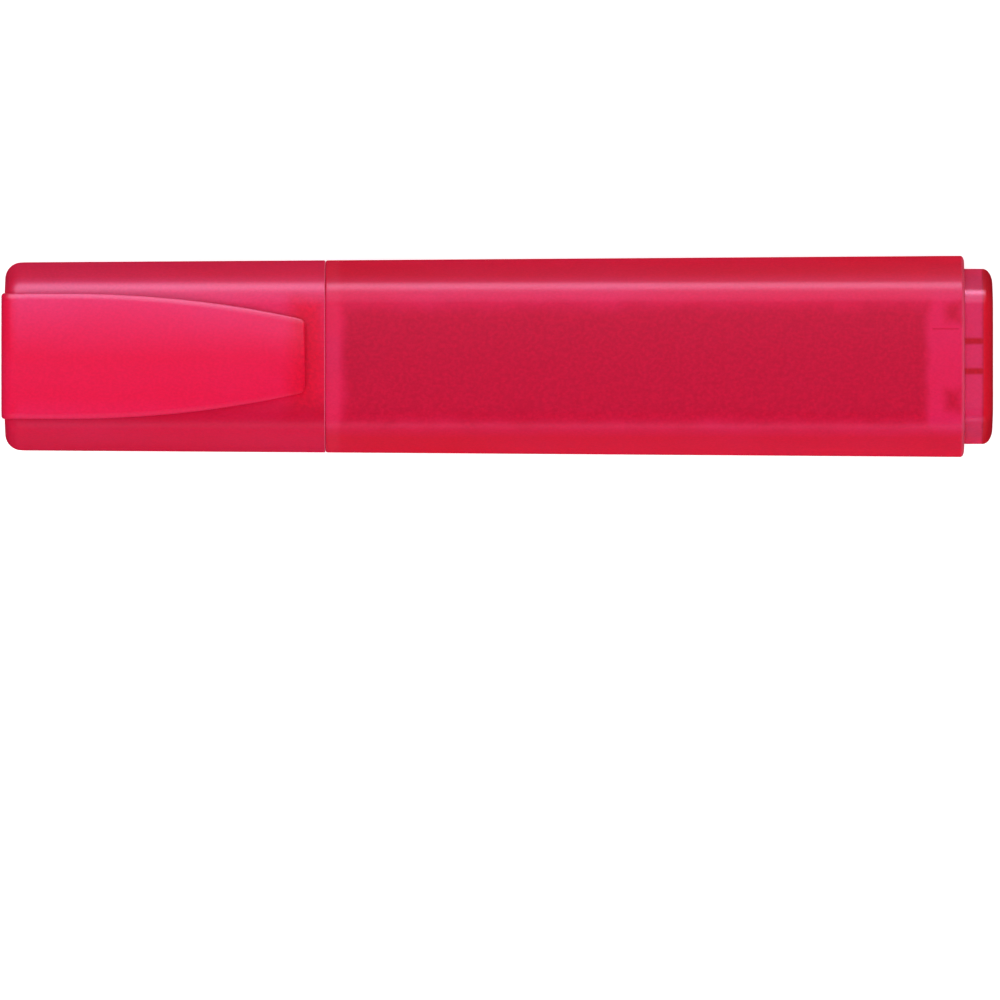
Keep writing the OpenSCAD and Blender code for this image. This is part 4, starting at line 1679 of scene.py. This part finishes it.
@dataclass
class Palette:
    """The finishes of the pen, all drawn from the one red of its plastic."""

    pen: PenSizes
    plug: EndPlug

    def plain(self) -> MouldedPlastic:
        """The frosted red plastic with nothing behind it."""
        # The second colour is the painted shade of the slanting flanks.
        red, dark = (0.99, 0.024, 0.14), (0.97, 0.006, 0.044)
        return MouldedPlastic("plain_red", tint=red, flank_shade=dark, axis_z=self.pen.axis_z)

    def frosted_red(self) -> MouldedPlastic:
        """Outside of the barrel, dark over the reservoir, the plug's lugs and its vent groove, with painted
        light on the reservoir patch's +Y edge and a painted glow on the horn.

        Returns:
            The finish.
        """
        pen, plug = self.pen, self.plug
        low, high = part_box("reservoir_film")
        # The reservoir patch is shifted towards -Y: its +Y edge is left pale as painted light from the +Y
        # side.
        store_x, store_y = (low.x, high.x - 0.1 * MM), (low.y - 1.3 * MM, high.y - 0.9 * MM)
        behind = [Shadow(store_x, store_y, (0.8 * MM, 1.6 * MM), 2.0 * MM)]
        x_lug = pen.x_rear - plug.lug_in - 0.2 * MM
        for y in (-plug.lug_pitch / 2, plug.lug_pitch / 2):
            lug_x, lug_y = (x_lug - 0.9 * MM, x_lug + 0.9 * MM), (y - 1.2 * MM, y + 1.2 * MM)
            behind.append(Shadow(lug_x, lug_y, (0.9 * MM, 0.9 * MM), 1.6 * MM))
        groove = (plug.vent_y - 0.06 * MM, plug.vent_y + 0.06 * MM)
        behind.append(Shadow((pen.x_rear - 3.9 * MM, pen.x_rear - 0.7 * MM), groove, (0.1 * MM, 0.1 * MM)))
        return replace(
            self.plain(),
            name="frosted_red",
            shadows=tuple(behind),
            rims=(Rim(pen.x_rear, 0.5 * MM, 0.5), Rim(pen.x_shoulder + 0.9 * MM, 1.1 * MM, 0.05)),
            painted_glow_end=pen.x_shoulder,
        )

    def inner_wall(self) -> MouldedPlastic:
        """Walls and ribs inside the hollow pieces.

        Returns:
            The finish.
        """
        return replace(
            self.plain(),
            name="inner_wall",
            tint=(0.75, 0.03, 0.1),
            flank_shade=(0.7, 0.02, 0.08),
            opacity=0.25,
            surface=Surface.POLISHED,
        )

    def clear_collar(self) -> MouldedPlastic:
        """Nib holder: polished and pale at its lip, with two bands of painted shade, over its +Y side beside
        the nib's slot and across its middle, standing for the dark parts of its reflections.

        Returns:
            The finish.
        """
        pen, half = self.pen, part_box("nib")[1].y
        edge = (0.1 * MM, 0.1 * MM)
        return replace(
            self.pale_clear(),
            name="clear_collar",
            shadows=(
                # Painted shade: dark bands of the polished ring's reflections.
                Shadow((-FAR, pen.x_horn), (half + 0.1 * MM, FAR), edge),
                Shadow((-FAR, pen.x_horn), (-0.4 * half, 0.18 * half), edge),
            ),
            rims=(Rim(pen.x_collar, 1.7 * MM, 0.75),),
        )

    def pale_clear(self) -> MouldedPlastic:
        """Polished pale plastic, as on the inner cap.

        Returns:
            The finish.
        """
        return replace(
            self.plain(),
            name="pale_clear",
            tint=(0.92, 0.11, 0.26),
            flank_shade=(0.9, 0.06, 0.18),
            surface=Surface.POLISHED,
            opacity=0.8,
            roughness=0.14,
            shade=(0.72, 0.01, 0.05),
            rim_tint=(1.0, 0.3, 0.48),
        )

    def film(self) -> MouldedPlastic:
        """Thin clear film round the reservoir."""
        tint, flank_shade = (0.8, 0.3, 0.36), (0.8, 0.28, 0.34)
        return replace(self.pale_clear(), name="film", tint=tint, flank_shade=flank_shade, opacity=0.3)

    def plug_red(self) -> MouldedPlastic:
        """Thin walls of the end plug, dark over its ribs and its end wall.

        Returns:
            The finish.
        """
        pen, plug = self.pen, self.plug
        half, soft = plug.rib_t / 2 + 0.08 * MM, (0.2 * MM, 0.2 * MM)
        everywhere = (-FAR, FAR)
        middles = (-plug.rib_pitch / 2, plug.rib_pitch / 2)
        dark = [Shadow(everywhere, (y - half, y + half), soft) for y in middles]
        x_end = pen.x_plug_end - plug.edge_r - 0.1 * MM
        dark.append(Shadow((x_end, FAR), everywhere, (0.25 * MM, 0.25 * MM)))
        return replace(
            self.plain(),
            name="plug_red",
            opacity=0.6,
            shine=0.5,
            tint=(0.95, 0.034, 0.17),
            flank_shade=(0.98, 0.05, 0.19),
            shadows=tuple(dark),
            shade=(0.64, 0.004, 0.018),
        )

    def solid_red(self) -> MouldedPlastic:
        """Thick parts of the end plug, which one can't see through."""
        tint, flank_shade = (0.7, 0.006, 0.022), (0.66, 0.005, 0.02)
        return replace(self.plain(), name="solid_red", opacity=0.95, tint=tint, flank_shade=flank_shade)

    def cap_red(self) -> MouldedPlastic:
        """Outside of the cap and its clip, dark over the horn's base, with a painted sheen towards +Y and
        painted shade below the clip on the -Y side.

        Returns:
            The finish.
        """
        pen = self.pen
        y_horn = pen.face_w / 2 - 1.0 * MM
        horn_x, horn_y = (pen.x_mouth - 4.2 * MM, pen.x_mouth), (-y_horn, y_horn)
        horn = Shadow(horn_x, horn_y, (1.6 * MM, 1.6 * MM), 2.4 * MM)
        return replace(
            self.plain(),
            name="cap_red",
            roughness=0.38,
            opacity=0.88,
            # Painted sheen towards +Y, starting after the clip's fold.
            painted_sheen=PaintedSheen.ONE_SIDED,
            painted_sheen_start=pen.x_cap_out + 0.3 * MM,
            shadows=(horn,),
            shade=(0.78, 0.004, 0.038),
            rims=(Rim(pen.x_mouth, 0.12 * MM, 0.9),),
            tint=(0.92, 0.032, 0.165),
            flank_shade=(0.92, 0.005, 0.058),
        )

    def nib_fibre(self) -> InkedFibre:
        """Pressed fibre of the nib."""
        return InkedFibre("nib_fibre", dry=(0.74, 0.012, 0.075), wet=(0.52, 0.006, 0.042), along=0.4)

    def inked_wadding(self) -> InkedFibre:
        """Loose fibre of the reservoir."""
        dry, wet = (0.45, 0.01, 0.03), (0.28, 0.003, 0.012)
        return InkedFibre("inked_wadding", dry=dry, wet=wet, grain=1500, along=0.5)


def main() -> None:
    """Builds the studio and every sub-assembly."""
    logging.basicConfig(level=logging.INFO, format="%(name)s %(message)s")
    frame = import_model()
    nodes = frame["nodes"]
    pen = PenSizes.from_frame()
    plug = EndPlug(pen)
    palette = Palette(pen, plug)
    inner = palette.inner_wall()
    Studio(pen).build()

    Barrel(pen).build(palette.frosted_red(), inner)
    nib_unit = NibUnit(pen)
    nib_unit.build_holder(palette.clear_collar(), inner)
    nib_unit.build_nib(palette.nib_fibre())
    InkStore().build(nodes, palette.inked_wadding(), palette.film())
    plug.build(palette.plug_red(), inner, palette.solid_red())
    cap = Cap(pen)
    cap.build(palette.cap_red(), inner)
    cap.dress_inner(nodes, palette.pale_clear())


if __name__ == "__main__":
    main()
